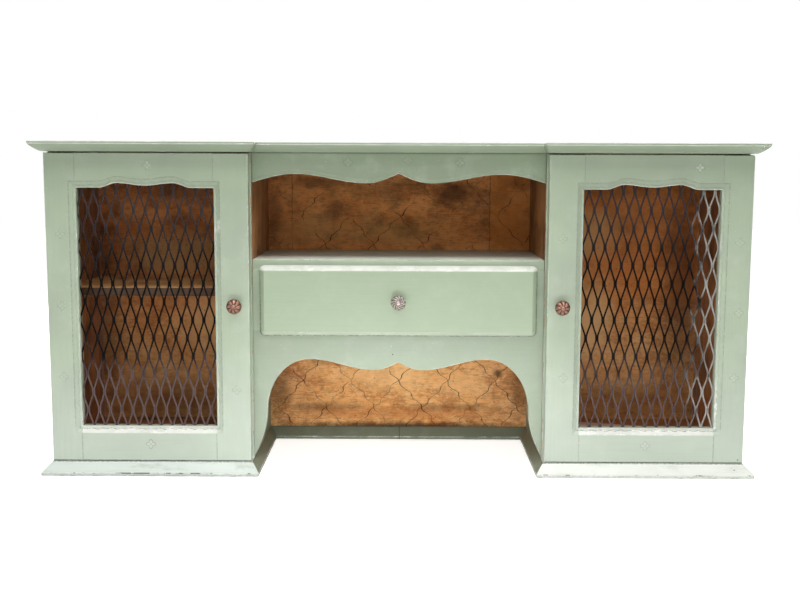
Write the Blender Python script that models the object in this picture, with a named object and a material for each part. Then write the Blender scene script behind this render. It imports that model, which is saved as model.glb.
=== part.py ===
"""A painted wall cabinet: two cupboards with expanded-metal doors, and between them an open niche, a
drawer and an arched recess, under one cornice and on one base moulding.

Metres, +Z up, the front towards -Y. The origin lies on the ground under the middle of the outer box.
Inside the script Y runs back from the doors' front faces, and the empty named cabinet shifts the whole
to the origin.
"""

import math

import bmesh
import bpy

# Clearances
SEAT = 0.0003  # between two pieces that touch
DOOR_TOP_GAP = 0.0022
DOOR_FOOT_GAP = 0.0011
DOOR_BACK_GAP = 0.0010  # between a door's back and the case
DRAWER_SIDE_GAP = 0.0015
DRAWER_TOP_GAP = 0.0040
DRAWER_BACK_GAP = 0.0385  # between the drawer and the back panel
GROOVE_GAP = 0.0003  # round the drawer bottom in its grooves
PIN_GAP = 0.0003  # round a hinge pin in its knuckle

# Case
CASE_WIDTH = 1.214
CENTRE_WIDTH = 0.512  # clear width between the two inner sides
CASE_DEPTH = 0.2745  # from the doors' front faces to the back
SIDE_HEIGHT = 0.5637
SIDE_THICK = 0.018
BACK_THICK = 0.006
FACE_SETBACK = 0.030  # the centre's face behind the doors' front faces
FACE_THICK = 0.018
FLOOR_TOP = 0.040
FLOOR_THICK = 0.014
CENTRE_SHELF_TOP = 0.3782
CENTRE_SHELF_THICK = 0.018
LEFT_SHELF_TOP = 0.325
LEFT_SHELF_THICK = 0.014
LEFT_SHELF_SETBACK = 0.022  # from the case's front edges
CLEAT_SIZE = 0.015
CLEAT_INSET = 0.015  # the cleats' ends from the shelf's front and back edges

# Cornice
CORNICE_HEIGHT = 0.0172
CORNICE_OUT = 0.0205
CORNICE_FOOT_OUT = 0.0030
CORNICE_EDGE = 0.0042  # the upright nose along the top
CORNICE_BULGE = 0.25  # 0 is a flat slope, 1 a full quarter round
CORNICE_RETURN_OUT = {"left": 0.0120, "right": 0.0070}  # the short runs back to the centre

# Base moulding
BASE_HEIGHT = 0.0232
BASE_OUT = 0.0172
BASE_EDGE = 0.0058
BASE_BULGE = 0.08
BASE_RETURN_OUT = {"left": 0.0132, "right": 0.0135}

# Valance: drops are below the top board
VALANCE_END_DROP = 0.052
VALANCE_HUMP_DROP = 0.037
VALANCE_DIP_DROP = 0.0526
VALANCE_CUSP_DROP = 0.0357
VALANCE_HUMP_INSET = 0.076  # from the bay's side
VALANCE_DIP_X = 0.056  # from the middle

# Apron: drops are below the drawer's opening, heights are above the ground
APRON_TIP_CLEAR = 0.0045  # the legs' tips over the base moulding
APRON_LEG_WIDTH = 0.0235
APRON_LEG_HEIGHT = 0.106
APRON_BEND_HEIGHT = 0.071  # where the lines of the leg and of its slanting tip would cross
APRON_HUMP_DROP = 0.0511
APRON_DIP_DROP = 0.0708
APRON_CUSP_DROP = 0.0568
APRON_HUMP_INSET = 0.099  # from the bay's side
APRON_DIP_X = 0.042  # from the middle

# Doors
DOOR_THICK = 0.022
DOOR_REVEAL = 0.002  # the inner side's edge that stays in sight beside a door
HINGE_STILE_WIDTH = 0.0525
LOCK_STILE_WIDTH = 0.060
BOTTOM_RAIL_HEIGHT = 0.0604
TOP_RAIL_HEIGHT = 0.0594  # at the ends of its wavy edge
WAVE_HUMP_RISE = 0.0082
WAVE_DIP_RISE = 0.0038
WAVE_SHOULDER_SHARE = 0.68  # of the opening's half width, from the middle to where the edge is straight
WAVE_HUMP_SHARE = 0.41  # of the opening's half width, from the middle to a hump
SIGHT_WIDTH = 0.011  # the moulding round the opening
SIGHT_DEPTH = 0.008
SIGHT_QUIRK = 0.0008
REBATE_WIDTH = 0.008
LIP_THICK = 0.012  # the frame in front of the rebate

# Expanded metal: long diamonds that stand upright
MESH_THICK = 0.0027
MESH_PITCH_X = 0.0197
MESH_PITCH_Z = 0.0638
MESH_STRAND = 0.0030  # half the width of a bond, where two strands join
MESH_BOND = 0.013
MESH_NOTCH = 0.016  # between the sharp ends of two diamonds, one over the other
MESH_BORDER = 0.0075  # the closed strip behind the frame
MESH_SCRAP = 12e-6  # a cut diamond smaller than this stays closed
MESH_START = {"left": (0.0117, 0.2195), "right": (0.0, 0.2541)}  # one bond, from the opening's foot

# Hinges
HINGE_HEIGHT = 0.050
HINGE_INSET = 0.090  # a hinge's middle from the door's end
HINGE_LEAF = 0.0015
HINGE_RADIUS = 0.0030
HINGE_PIN_RADIUS = 0.0013
HINGE_OUT = 0.0035  # the axis outside the case
HINGE_LEAF_GAP = 0.0004  # between the two closed leaves

# Drawer
DRAWER_MARGIN = 0.0135  # from the drawer front to the bay's side
DRAWER_OPENING_HEIGHT = 0.1077  # from the apron up to the shelf
DRAWER_FRONT_THICK = 0.018
DRAWER_LIP = 0.008  # the front's overlap on shelf, apron and face stiles
DRAWER_CORNER = 0.012
DRAWER_EDGE_WIDTH = 0.011
DRAWER_EDGE_DEPTH = 0.0085
DRAWER_BOARD = 0.012
DRAWER_BOTTOM_THICK = 0.005
DRAWER_BOTTOM_RISE = 0.008
DRAWER_GROOVE = 0.005
RUNNER_THICK = 0.014
RUNNER_LEDGE = 0.010  # the runner past the drawer side it carries
GUIDE_HEIGHT = 0.020

# Knobs
KNOB_RADIUS = 0.0133
KNOB_LENGTH = 0.024
KNOB_FOOT_RADIUS = 0.0090
KNOB_FOOT_LENGTH = 0.0030
KNOB_NECK_RADIUS = 0.0055
KNOB_HEAD_START = 0.0085  # from the face the knob stands on
KNOB_RIM_SHARE = 0.35  # of the head's length, up to its widest ring
KNOB_CROWN_RADIUS = 0.0015
KNOB_PETALS = 8
KNOB_PETAL_DEPTH = 0.05  # of the rim's radius
DOOR_KNOB_HEIGHT = 0.2997
DRAWER_KNOB_RISE = 0.0617  # over the drawer front's lower edge

CURVE_STEPS = 6
ROUND_STEPS = 24
BARREL_STEPS = 14
DOME_STEPS = 4
CUT = 0.002  # a cutter past the face it cuts

# Places worked out from the sizes above
HALF_CASE = CASE_WIDTH / 2
HALF_CENTRE = CENTRE_WIDTH / 2
CASE_FRONT = DOOR_THICK + DOOR_BACK_GAP
BACK_FACE = CASE_DEPTH - BACK_THICK
FACE_BACK = FACE_SETBACK + FACE_THICK
DOOR_FOOT = BASE_HEIGHT + DOOR_FOOT_GAP
DOOR_TOP = SIDE_HEIGHT - DOOR_TOP_GAP
DOOR_INNER = HALF_CENTRE + DOOR_REVEAL
SIGHT_INNER = DOOR_INNER + LOCK_STILE_WIDTH
SIGHT_OUTER = HALF_CASE - HINGE_STILE_WIDTH
SIGHT_FOOT = DOOR_FOOT + BOTTOM_RAIL_HEIGHT
SIGHT_TOP = DOOR_TOP - TOP_RAIL_HEIGHT
SIGHT_MIDDLE = (SIGHT_INNER + SIGHT_OUTER) / 2
SIGHT_HALF = (SIGHT_OUTER - SIGHT_INNER) / 2
REBATE_TOP = SIGHT_TOP + WAVE_HUMP_RISE + REBATE_WIDTH
REBATE_FOOT = SIGHT_FOOT - REBATE_WIDTH
REBATE_HALF = SIGHT_HALF + REBATE_WIDTH
HINGE_X = HALF_CASE + HINGE_OUT
HINGE_Y = DOOR_THICK + DOOR_BACK_GAP / 2
OPENING_TOP = CENTRE_SHELF_TOP - CENTRE_SHELF_THICK
OPENING_FOOT = OPENING_TOP - DRAWER_OPENING_HEIGHT
DRAWER_HALF = HALF_CENTRE - DRAWER_MARGIN
DRAWER_FRONT_FOOT = OPENING_FOOT - DRAWER_LIP
DRAWER_FRONT_TOP = OPENING_TOP + DRAWER_LIP
DRAWER_FACE = FACE_SETBACK - SEAT - DRAWER_FRONT_THICK
OPENING_HALF = DRAWER_HALF - DRAWER_LIP
BOX_HALF = OPENING_HALF - DRAWER_SIDE_GAP
BOX_FOOT = OPENING_FOOT + DRAWER_SIDE_GAP
BOX_TOP = OPENING_TOP - DRAWER_TOP_GAP
BOX_BACK = BACK_FACE - DRAWER_BACK_GAP
BOX_BOTTOM_FOOT = BOX_FOOT + DRAWER_BOTTOM_RISE
FRONT_MOST = min(-KNOB_LENGTH - SEAT, -CORNICE_OUT, -BASE_OUT)
MIDDLE_Y = (FRONT_MOST + CASE_DEPTH) / 2


def clear_scene():
    for thing in list(bpy.data.objects):
        bpy.data.objects.remove(thing)


def surface(name, colour, roughness, metallic=0.0):
    """A Principled material; the colour is given as sRGB bytes."""
    made = bpy.data.materials.new(name)
    made.use_nodes = True
    shader = made.node_tree.nodes["Principled BSDF"]
    linear = [((c / 255 + 0.055) / 1.055) ** 2.4 for c in colour]
    shader.inputs["Base Color"].default_value = (*linear, 1.0)
    shader.inputs["Roughness"].default_value = roughness
    shader.inputs["Metallic"].default_value = metallic
    return made


def place(name, data, look, parent, at=(0, 0, 0), turn=(0, 0, 0)):
    """One named object on its parent; at is in the cabinet's frame, less the parent's own place."""
    thing = bpy.data.objects.new(name, data)
    bpy.context.scene.collection.objects.link(thing)
    if not data.materials:
        data.materials.append(look)
    thing.parent = parent
    base = parent.get("place", (0, 0, 0))
    thing.location = [a - b for a, b in zip(at, base)]
    thing.rotation_euler = turn
    return thing


def empty(name, at, parent=None):
    """A point that pieces hang on; its place in the cabinet's frame is kept for them."""
    thing = bpy.data.objects.new(name, None)
    bpy.context.scene.collection.objects.link(thing)
    thing.location = at
    if parent:
        thing.parent = parent
        thing["place"] = at
    return thing


def mesh_from(name, points, faces):
    """A closed mesh with its faces turned outwards."""
    shape = bmesh.new()
    corners = [shape.verts.new(p) for p in points]
    for face in faces:
        shape.faces.new([corners[i] for i in face])
    bmesh.ops.recalc_face_normals(shape, faces=shape.faces)
    data = bpy.data.meshes.new(name)
    shape.to_mesh(data)
    shape.free()
    return data


def loft(name, loops):
    """A closed mesh through loops of equal count, with a face over the first and the last."""
    count = len(loops[0])
    points = [p for loop in loops for p in loop]
    faces = [list(range(count)), list(range(len(points) - count, len(points)))]
    for ring in range(len(loops) - 1):
        for k in range(count):
            a, b = ring * count + k, ring * count + (k + 1) % count
            faces.append((a, b, b + count, a + count))
    return mesh_from(name, points, faces)


def board(name, x, y, z, look, parent):
    """A straight board between two values on each axis, with its origin in its middle."""
    half = [abs(b - a) / 2 for a, b in (x, y, z)]
    middle = [(a + b) / 2 for a, b in (x, y, z)]
    corners = [(-1, -1), (1, -1), (1, 1), (-1, 1)]
    loops = [[(half[0] * i, half[1] * j, half[2] * k) for i, j in corners] for k in (-1, 1)]
    return place(name, loft(name, loops), look, parent, middle)


def panel(name, outline, y, look, parent):
    """A board cut to an outline in X and Z, between two values of Y."""
    loops = [[(px, v - y[0], pz) for px, pz in outline] for v in y]
    return place(name, loft(name, loops), look, parent, (0, y[0], 0))


def sway(a, b, level):
    """A smooth line from a to b, level at its start, at its end or at both; elsewhere it meets the next
    line at an angle."""
    rises = {
        "both": lambda u: (1 - math.cos(math.pi * u)) / 2,
        "start": lambda u: 1 - math.cos(math.pi / 2 * u),
        "end": lambda u: math.sin(math.pi / 2 * u),
    }
    for k in range(1, CURVE_STEPS + 1):
        u = k / CURVE_STEPS
        yield a[0] + (b[0] - a[0]) * u, a[1] + (b[1] - a[1]) * rises[level](u)


def quarter(a, b, level_first):
    """A quarter ellipse from a to b, level at a and upright at b, or the other way round."""
    for k in range(1, CURVE_STEPS + 1):
        turn = math.pi / 2 * k / CURVE_STEPS
        early, late = math.sin(turn), 1 - math.cos(turn)
        across, up = (early, late) if level_first else (late, early)
        yield a[0] + (b[0] - a[0]) * across, a[1] + (b[1] - a[1]) * up


def bend(a, corner, b):
    """A line that leaves a towards the corner and comes to b from it."""
    for k in range(1, CURVE_STEPS + 1):
        u = k / CURVE_STEPS
        yield [(1 - u) ** 2 * p + 2 * u * (1 - u) * q + u ** 2 * r for p, q, r in zip(a, corner, b)]


def mirrored(half):
    """A lower edge from its right end to the middle, and on to its left end."""
    return half + [(-px, pz) for px, pz in reversed(half[:-1])]


def cut(target, cutter):
    """Takes the cutter's shape out of the target; the cutter stays as a hidden guide."""
    cutter.hide_render = True
    cutter.display_type = "WIRE"
    taken = target.modifiers.new("cut " + cutter.name, "BOOLEAN")
    taken.operation = "DIFFERENCE"
    taken.solver = "EXACT"
    taken.object = cutter


def joined(name, base, steps):
    """The mesh of a base shape after Boolean steps, each a mesh and its operation."""
    work = bpy.data.objects.new(name, base)
    bpy.context.scene.collection.objects.link(work)
    tools = [work]
    for data, operation in steps:
        tool = bpy.data.objects.new(name + " tool", data)
        bpy.context.scene.collection.objects.link(tool)
        step = work.modifiers.new(operation, "BOOLEAN")
        step.operation = operation
        step.solver = "EXACT"
        step.object = tool
        tools.append(tool)
    graph = bpy.context.evaluated_depsgraph_get()
    made = bpy.data.meshes.new_from_object(work.evaluated_get(graph))
    made.name = name
    for tool in tools:
        bpy.data.objects.remove(tool)
    return made


def moulding(name, profile, line, outward, mitres, foot, look, parent):
    """A profile of points (out, up) run along a line in plan. A mitre of 1 turns an outer corner, -1 an
    inner corner, and 0 ends square; other values meet a run that stands out more or less. What lies behind
    the line ends square on it."""
    start, end = line
    length = math.dist(start, end)
    along = [(b - a) / length for a, b in zip(start, end)]
    rings = []
    for base, way, mitre in ((start, -1, mitres[0]), (end, 1, mitres[1])):
        ring = []
        for out, up in profile:
            reach = way * (mitre * max(out, 0) - SEAT / 2)
            ring.append([b + o * out + a * reach for b, o, a in zip(base, outward, along)] + [up])
        rings.append(ring)
    count = len(profile)
    faces = [(k, (k + 1) % count, count + (k + 1) % count, count + k) for k in range(count)]
    front = [k for k in range(count) if profile[k][0] >= 0]
    rear = [k for k in range(count) if profile[k][0] <= 0]
    for part in (front, rear):
        if len(part) > 2:
            faces.append(part)
            faces.append([count + k for k in part])
    origin = (*start, foot)
    points = [[p[0] - start[0], p[1] - start[1], p[2]] for ring in rings for p in ring]
    return place(name, mesh_from(name, points, faces), look, parent, origin)


def bowed_slope(a, b, bulge):
    """From a to b, between a flat slope and a quarter round that leaves a upright and reaches b level."""
    steps = CURVE_STEPS // 2
    for k in range(steps + 1):
        u = k / steps
        across = u + bulge * (1 - math.cos(math.pi / 2 * u) - u)
        rise = u + bulge * (math.sin(math.pi / 2 * u) - u)
        yield a[0] + (b[0] - a[0]) * across, a[1] + (b[1] - a[1]) * rise


def base_profile():
    """From the foot outwards: the upright edge, then the slope back to the face."""
    return [(BASE_OUT, 0), *bowed_slope((BASE_OUT, BASE_EDGE), (SEAT, BASE_HEIGHT), BASE_BULGE)]


def cornice_profile():
    """From the foot outwards: the slope out to the nose, then the upright nose."""
    nose = (CORNICE_OUT, CORNICE_HEIGHT - CORNICE_EDGE)
    slope = list(bowed_slope(nose, (CORNICE_FOOT_OUT, 0), CORNICE_BULGE))
    return [*reversed(slope), (CORNICE_OUT, CORNICE_HEIGHT), (SEAT, CORNICE_HEIGHT)]


def moulding_ring(kind, profile, returns, foot, setback, depth, look, parent):
    """The seven mitred runs round the breakfront plan. The centre run stands at the setback, the returns
    stand out less, and a front run has a block behind it, under or over the doors."""
    out = max(p[0] for p in profile)
    height = max(p[1] for p in profile)
    plain = [(SEAT, 0)] + profile
    block = [(0, height), (-depth, height), (-depth, 0), (0, 0)] + profile
    shares = {side: reach / out for side, reach in returns.items()}
    for side, sign in (("left", -1), ("right", 1)):
        outer, inner = sign * HALF_CASE, sign * HALF_CENTRE
        share = shares[side]
        slim = [(max(share * o, SEAT), up) for o, up in plain]
        line = ((outer, CASE_DEPTH), (outer, 0))
        moulding(f"{kind}_{side}_side", plain, line, (sign, 0), (0, 1), foot, look, parent)
        line = ((outer, 0), (inner, 0))
        moulding(f"{kind}_{side}_front", block, line, (0, -1), (1, share), foot, look, parent)
        line = ((inner, 0), (inner, setback))
        mitres = (1 / share, -1 / share)
        moulding(f"{kind}_{side}_return", slim, line, (-sign, 0), mitres, foot, look, parent)
    line = ((-HALF_CENTRE, setback), (HALF_CENTRE, setback))
    mitres = (-shares["left"], -shares["right"])
    moulding(f"{kind}_centre", plain, line, (0, -1), mitres, foot, look, parent)


def valance_outline():
    half = HALF_CENTRE - SEAT
    top = SIDE_HEIGHT - SEAT
    end = (half, SIDE_HEIGHT - VALANCE_END_DROP)
    hump = (HALF_CENTRE - VALANCE_HUMP_INSET, SIDE_HEIGHT - VALANCE_HUMP_DROP)
    dip = (VALANCE_DIP_X, SIDE_HEIGHT - VALANCE_DIP_DROP)
    cusp = (0, SIDE_HEIGHT - VALANCE_CUSP_DROP)
    edge = [end, *sway(end, hump, "end"), *sway(hump, dip, "both"), *sway(dip, cusp, "start")]
    return mirrored(edge) + [(-half, top), (half, top)]


def apron_outline():
    half = HALF_CENTRE - SEAT
    tip = (half, BASE_HEIGHT + APRON_TIP_CLEAR)
    leg = (half - APRON_LEG_WIDTH, APRON_LEG_HEIGHT)
    hump = (HALF_CENTRE - APRON_HUMP_INSET, OPENING_FOOT - APRON_HUMP_DROP)
    dip = (APRON_DIP_X, OPENING_FOOT - APRON_DIP_DROP)
    cusp = (0, OPENING_FOOT - APRON_CUSP_DROP)
    edge = [tip, *bend(tip, (leg[0], APRON_BEND_HEIGHT), leg), *quarter(leg, hump, False)]
    edge += [*sway(hump, dip, "both"), *sway(dip, cusp, "start")]
    return mirrored(edge) + [(-half, OPENING_FOOT), (half, OPENING_FOOT)]


def build_case(looks, cabinet):
    paint, stain = looks["paint"], looks["stain"]
    side_y = (CASE_FRONT, BACK_FACE - SEAT)
    side_z = (0, SIDE_HEIGHT - SEAT)
    for side, sign in (("left", -1), ("right", 1)):
        outer_face = sign * HALF_CASE
        outer_in = sign * (HALF_CASE - SIDE_THICK)
        inner_in = sign * (HALF_CENTRE + SIDE_THICK)
        outer_y = (CASE_FRONT, CASE_DEPTH)
        outer = board(f"outer_side_{side}", (outer_face, outer_in), outer_y, side_z, paint, cabinet)
        for end, height in hinge_heights().items():
            cut(outer, hinge_recess(f"{side}_case_recess_{end}", sign, CASE_FRONT, height, cabinet))
        board(f"inner_side_{side}", (sign * HALF_CENTRE, inner_in), side_y, side_z, paint, cabinet)
        span = (outer_in - sign * SEAT, inner_in + sign * SEAT)
        board(f"floor_{side}", span, side_y, (FLOOR_TOP - FLOOR_THICK, FLOOR_TOP), stain, cabinet)
    half_back = HALF_CASE - SIDE_THICK - SEAT
    board("back_panel", (-half_back, half_back), (BACK_FACE, CASE_DEPTH), side_z, stain, cabinet)
    top_z = (SIDE_HEIGHT, SIDE_HEIGHT + CORNICE_HEIGHT)
    board("top_board", (-HALF_CASE, HALF_CASE), (FACE_SETBACK, CASE_DEPTH), top_z, paint, cabinet)


def build_centre(looks, cabinet):
    paint, bare = looks["paint"], looks["bare"]
    half = HALF_CENTRE - SEAT
    face = (FACE_SETBACK, FACE_BACK)
    shelf_z = (OPENING_TOP, CENTRE_SHELF_TOP)
    board("centre_shelf", (-half, half), (FACE_SETBACK, BACK_FACE - SEAT), shelf_z, paint, cabinet)
    panel("valance", valance_outline(), face, paint, cabinet)
    panel("apron", apron_outline(), face, paint, cabinet)
    runner_top = BOX_FOOT - SEAT
    runner_foot = runner_top - RUNNER_THICK
    guide = BOX_HALF + DRAWER_SIDE_GAP / 2
    ledge = BOX_HALF - DRAWER_BOARD - RUNNER_LEDGE
    section = [
        (half, runner_foot),
        (half, runner_top + GUIDE_HEIGHT),
        (guide, runner_top + GUIDE_HEIGHT),
        (guide, runner_top),
        (ledge, runner_top),
        (ledge, runner_foot),
    ]
    run = (FACE_BACK + SEAT, BACK_FACE - SEAT)
    stile_z = (OPENING_FOOT + SEAT, OPENING_TOP - SEAT)
    for side, sign in (("left", -1), ("right", 1)):
        board(f"drawer_stile_{side}", (sign * half, sign * OPENING_HALF), face, stile_z, paint, cabinet)
        panel(f"drawer_runner_{side}", [(sign * px, pz) for px, pz in section], run, bare, cabinet)


def build_left_shelf(looks, cabinet):
    stain = looks["stain"]
    outer = -(HALF_CASE - SIDE_THICK - SEAT)
    inner = -(HALF_CENTRE + SIDE_THICK + SEAT)
    run = (CASE_FRONT + LEFT_SHELF_SETBACK, BACK_FACE - SEAT)
    foot = LEFT_SHELF_TOP - LEFT_SHELF_THICK
    board("left_shelf", (outer, inner), run, (foot, LEFT_SHELF_TOP), stain, cabinet)
    cleat_y = (run[0] + CLEAT_INSET, run[1] - CLEAT_INSET)
    cleat_z = (foot - SEAT - CLEAT_SIZE, foot - SEAT)
    board("left_shelf_cleat_outer", (outer, outer + CLEAT_SIZE), cleat_y, cleat_z, stain, cabinet)
    board("left_shelf_cleat_inner", (inner - CLEAT_SIZE, inner), cleat_y, cleat_z, stain, cabinet)


def hinge_heights():
    return {"lower": DOOR_FOOT + HINGE_INSET, "upper": DOOR_TOP - HINGE_INSET}


def hinge_recess(name, sign, face, height, parent):
    """A shallow box over the edge that a hinge leaf lies in, in the door's back or the case's front."""
    sink = HINGE_LEAF + HINGE_LEAF_GAP / 2 - DOOR_BACK_GAP / 2 + SEAT
    x = (sign * (HALF_CASE + CUT), sign * (HALF_CASE - SIDE_THICK - SEAT))
    into = 1 if face > HINGE_Y else -1
    z = (height - HINGE_HEIGHT / 2 - SEAT, height + HINGE_HEIGHT / 2 + SEAT)
    return board(name, x, (face - into * CUT, face + into * sink), z, None, parent)


def cylinder(name, rings):
    """A turned shape about Z through rings of (radius, height)."""
    turns = [2 * math.pi * k / BARREL_STEPS for k in range(BARREL_STEPS)]
    return loft(name, [[(r * math.cos(t), r * math.sin(t), h) for t in turns] for r, h in rings])


def leaf_meshes():
    """The case leaf with two knuckles and the pin, and the door leaf with the knuckle between them, both
    about the pin's axis, with the leaf towards +X and the door towards -Y."""
    half = HINGE_HEIGHT / 2
    knuckle = HINGE_HEIGHT / 6 - SEAT / 2
    edge = (HINGE_RADIUS + SEAT, HINGE_OUT + SIDE_THICK - SEAT)
    neck = (0, HINGE_RADIUS + 2 * SEAT)
    near = HINGE_LEAF_GAP / 2
    far = near + HINGE_LEAF

    def block(x, y, z):
        return loft("block", [[(x[i], y[j], h) for i, j in ((0, 0), (1, 0), (1, 1), (0, 1))] for h in z])

    ends = ((-half, -knuckle - SEAT), (knuckle + SEAT, half))
    spindle = [(HINGE_RADIUS, -half), (HINGE_RADIUS, ends[0][1]), (HINGE_PIN_RADIUS, ends[0][1])]
    spindle += [(r, -h) for r, h in reversed(spindle)]
    case_steps = [(block(neck, (near, far), z), "UNION") for z in ends]
    case_steps.append((cylinder("spindle", spindle), "UNION"))
    case_leaf = joined("case_leaf", block(edge, (near, far), (-half, half)), case_steps)
    bore = HINGE_PIN_RADIUS + PIN_GAP
    door_steps = [
        (block(neck, (-far, -near), (-knuckle, knuckle)), "UNION"),
        (cylinder("knuckle", [(HINGE_RADIUS, -knuckle), (HINGE_RADIUS, knuckle)]), "UNION"),
        (cylinder("bore", [(bore, -half), (bore, half)]), "DIFFERENCE"),
    ]
    door_leaf = joined("door_leaf", block(edge, (-far, -near), (-half, half)), door_steps)
    return case_leaf, door_leaf


def build_hinges(looks, cabinet, doors):
    case_leaf, door_leaf = leaf_meshes()
    for side, sign in (("left", -1), ("right", 1)):
        turn = (0, math.pi, 0) if sign > 0 else (0, 0, 0)
        for end, height in hinge_heights().items():
            at = (sign * HINGE_X, HINGE_Y, height)
            place(f"{side}_hinge_{end}_case_leaf", case_leaf, looks["iron"], cabinet, at, turn)
            place(f"{side}_hinge_{end}_door_leaf", door_leaf, looks["iron"], doors[side], at, turn)


def wave_edge():
    """The wavy edge over the opening, right end to left: distances from the middle, and rises."""
    shoulder = (SIGHT_HALF * WAVE_SHOULDER_SHARE, 0)
    hump = (SIGHT_HALF * WAVE_HUMP_SHARE, WAVE_HUMP_RISE)
    half = [(SIGHT_HALF, 0), shoulder, *sway(shoulder, hump, "both")]
    half += sway(hump, (0, WAVE_DIP_RISE), "both")
    return mirrored(half)


def opening_cutter(name, middle, parent):
    """The whole door opening: the sight moulding in front, the wavy light, and the mesh's rebate behind."""
    wave = wave_edge()

    def light(out, y):
        half = SIGHT_HALF + out
        edge = [(half * px / SIGHT_HALF, y, SIGHT_TOP + rise + out) for px, rise in wave]
        return [(-half, y, SIGHT_FOOT - out), (half, y, SIGHT_FOOT - out)] + edge

    def rebate(y):
        edge = [(REBATE_HALF * px / SIGHT_HALF, y, REBATE_TOP) for px, rise in wave]
        return [(-REBATE_HALF, y, REBATE_FOOT), (REBATE_HALF, y, REBATE_FOOT)] + edge

    ovolo = list(quarter((SIGHT_WIDTH, SIGHT_QUIRK), (0, SIGHT_DEPTH), True))
    loops = [light(SIGHT_WIDTH, -CUT), light(SIGHT_WIDTH, SIGHT_QUIRK)]
    loops += [light(out, depth) for out, depth in ovolo[1::2]]
    loops += [light(0, LIP_THICK), rebate(LIP_THICK), rebate(DOOR_THICK + CUT)]
    return place(name, loft(name, loops), None, parent, (middle, 0, 0))


def clipped(outline, limit):
    """The part of a convex outline inside a rectangle of half width and lower and upper end."""
    half, foot, top = limit
    for axis, sign, bound in ((0, 1, half), (0, -1, half), (1, 1, top), (1, -1, -foot)):
        kept = []
        for k, here in enumerate(outline):
            before = outline[k - 1]
            inside, was_inside = sign * here[axis] <= bound, sign * before[axis] <= bound
            if inside != was_inside:
                share = (sign * bound - before[axis]) / (here[axis] - before[axis])
                kept.append(tuple(b + (h - b) * share for b, h in zip(before, here)))
            if inside:
                kept.append(here)
        outline = kept
    return outline


def area(outline):
    return abs(sum(a[0] * b[1] - b[0] * a[1] for a, b in zip(outline, outline[1:] + outline[:1]))) / 2


def diamond(x, z):
    """One gap of the expanded metal: sharp above and below, with a short upright side at each bond."""
    side = MESH_PITCH_X / 2 - MESH_STRAND
    point = (MESH_PITCH_Z - MESH_NOTCH) / 2
    bond = MESH_BOND / 2
    shape = [(0, -point), (side, -bond), (side, bond), (0, point), (-side, bond), (-side, -bond)]
    return [(x + px, z + pz) for px, pz in shape]


def build_mesh(side, sign, look, parent):
    """The sheet of expanded metal, a flat plate with its staggered diamonds cut at the border."""
    half = REBATE_HALF - SEAT
    foot, top = REBATE_FOOT + SEAT, REBATE_TOP - SEAT
    limit = (half - MESH_BORDER, foot + MESH_BORDER, top - MESH_BORDER)
    outlines = [[(-half, foot), (half, foot), (half, top), (-half, top)]]
    start_x = MESH_START[side][0]
    start_z = SIGHT_FOOT + MESH_START[side][1]
    columns = math.ceil(2 * half / MESH_PITCH_X)
    rows = math.ceil((top - foot) / MESH_PITCH_Z) + 1
    for row in range(-2 * rows, 2 * rows + 1):
        for column in range(-columns, columns + 1):
            x = start_x + (column + (row + 1) % 2 / 2) * MESH_PITCH_X
            gap = clipped(diamond(x, start_z + row * MESH_PITCH_Z / 2), limit)
            if len(gap) > 2 and area(gap) > MESH_SCRAP:
                outlines.append(gap)
    sheet = bpy.data.curves.new(f"{side}_door_mesh", "CURVE")
    sheet.dimensions = "2D"
    sheet.fill_mode = "BOTH"
    sheet.extrude = MESH_THICK / 2
    for outline in outlines:
        line = sheet.splines.new("POLY")
        line.points.add(len(outline) - 1)
        line.use_cyclic_u = True
        for point, (px, pz) in zip(line.points, outline):
            point.co = (px, pz, 0, 1)
    at = (sign * SIGHT_MIDDLE, LIP_THICK + SEAT + MESH_THICK / 2, 0)
    return place(f"{side}_door_mesh", sheet, look, parent, at, (math.pi / 2, 0, 0))


def build_bead(side, sign, look, parent):
    """The mitred frame behind the mesh, glued up as one, that holds it in the rebate."""
    y = (LIP_THICK + MESH_THICK + 2 * SEAT, DOOR_THICK - SEAT)
    outer = (REBATE_HALF - SEAT, REBATE_FOOT + SEAT, REBATE_TOP - SEAT)
    inner = (SIGHT_HALF, SIGHT_FOOT, SIGHT_TOP + WAVE_HUMP_RISE)
    loops = []
    for (half, foot, top), depth in ((outer, y[0]), (outer, y[1]), (inner, y[1]), (inner, y[0])):
        loops.append([(-half, depth, foot), (half, depth, foot), (half, depth, top), (-half, depth, top)])
    points = [p for loop in loops for p in loop]
    sides = len(loops[0])
    faces = []
    for ring in range(len(loops)):
        for k in range(sides):
            a, b = ring * sides + k, ring * sides + (k + 1) % sides
            faces.append((a, b, (b + sides) % len(points), (a + sides) % len(points)))
    name = f"{side}_door_mesh_bead"
    return place(name, mesh_from(name, points, faces), look, parent, (sign * SIGHT_MIDDLE, 0, 0))


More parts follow.
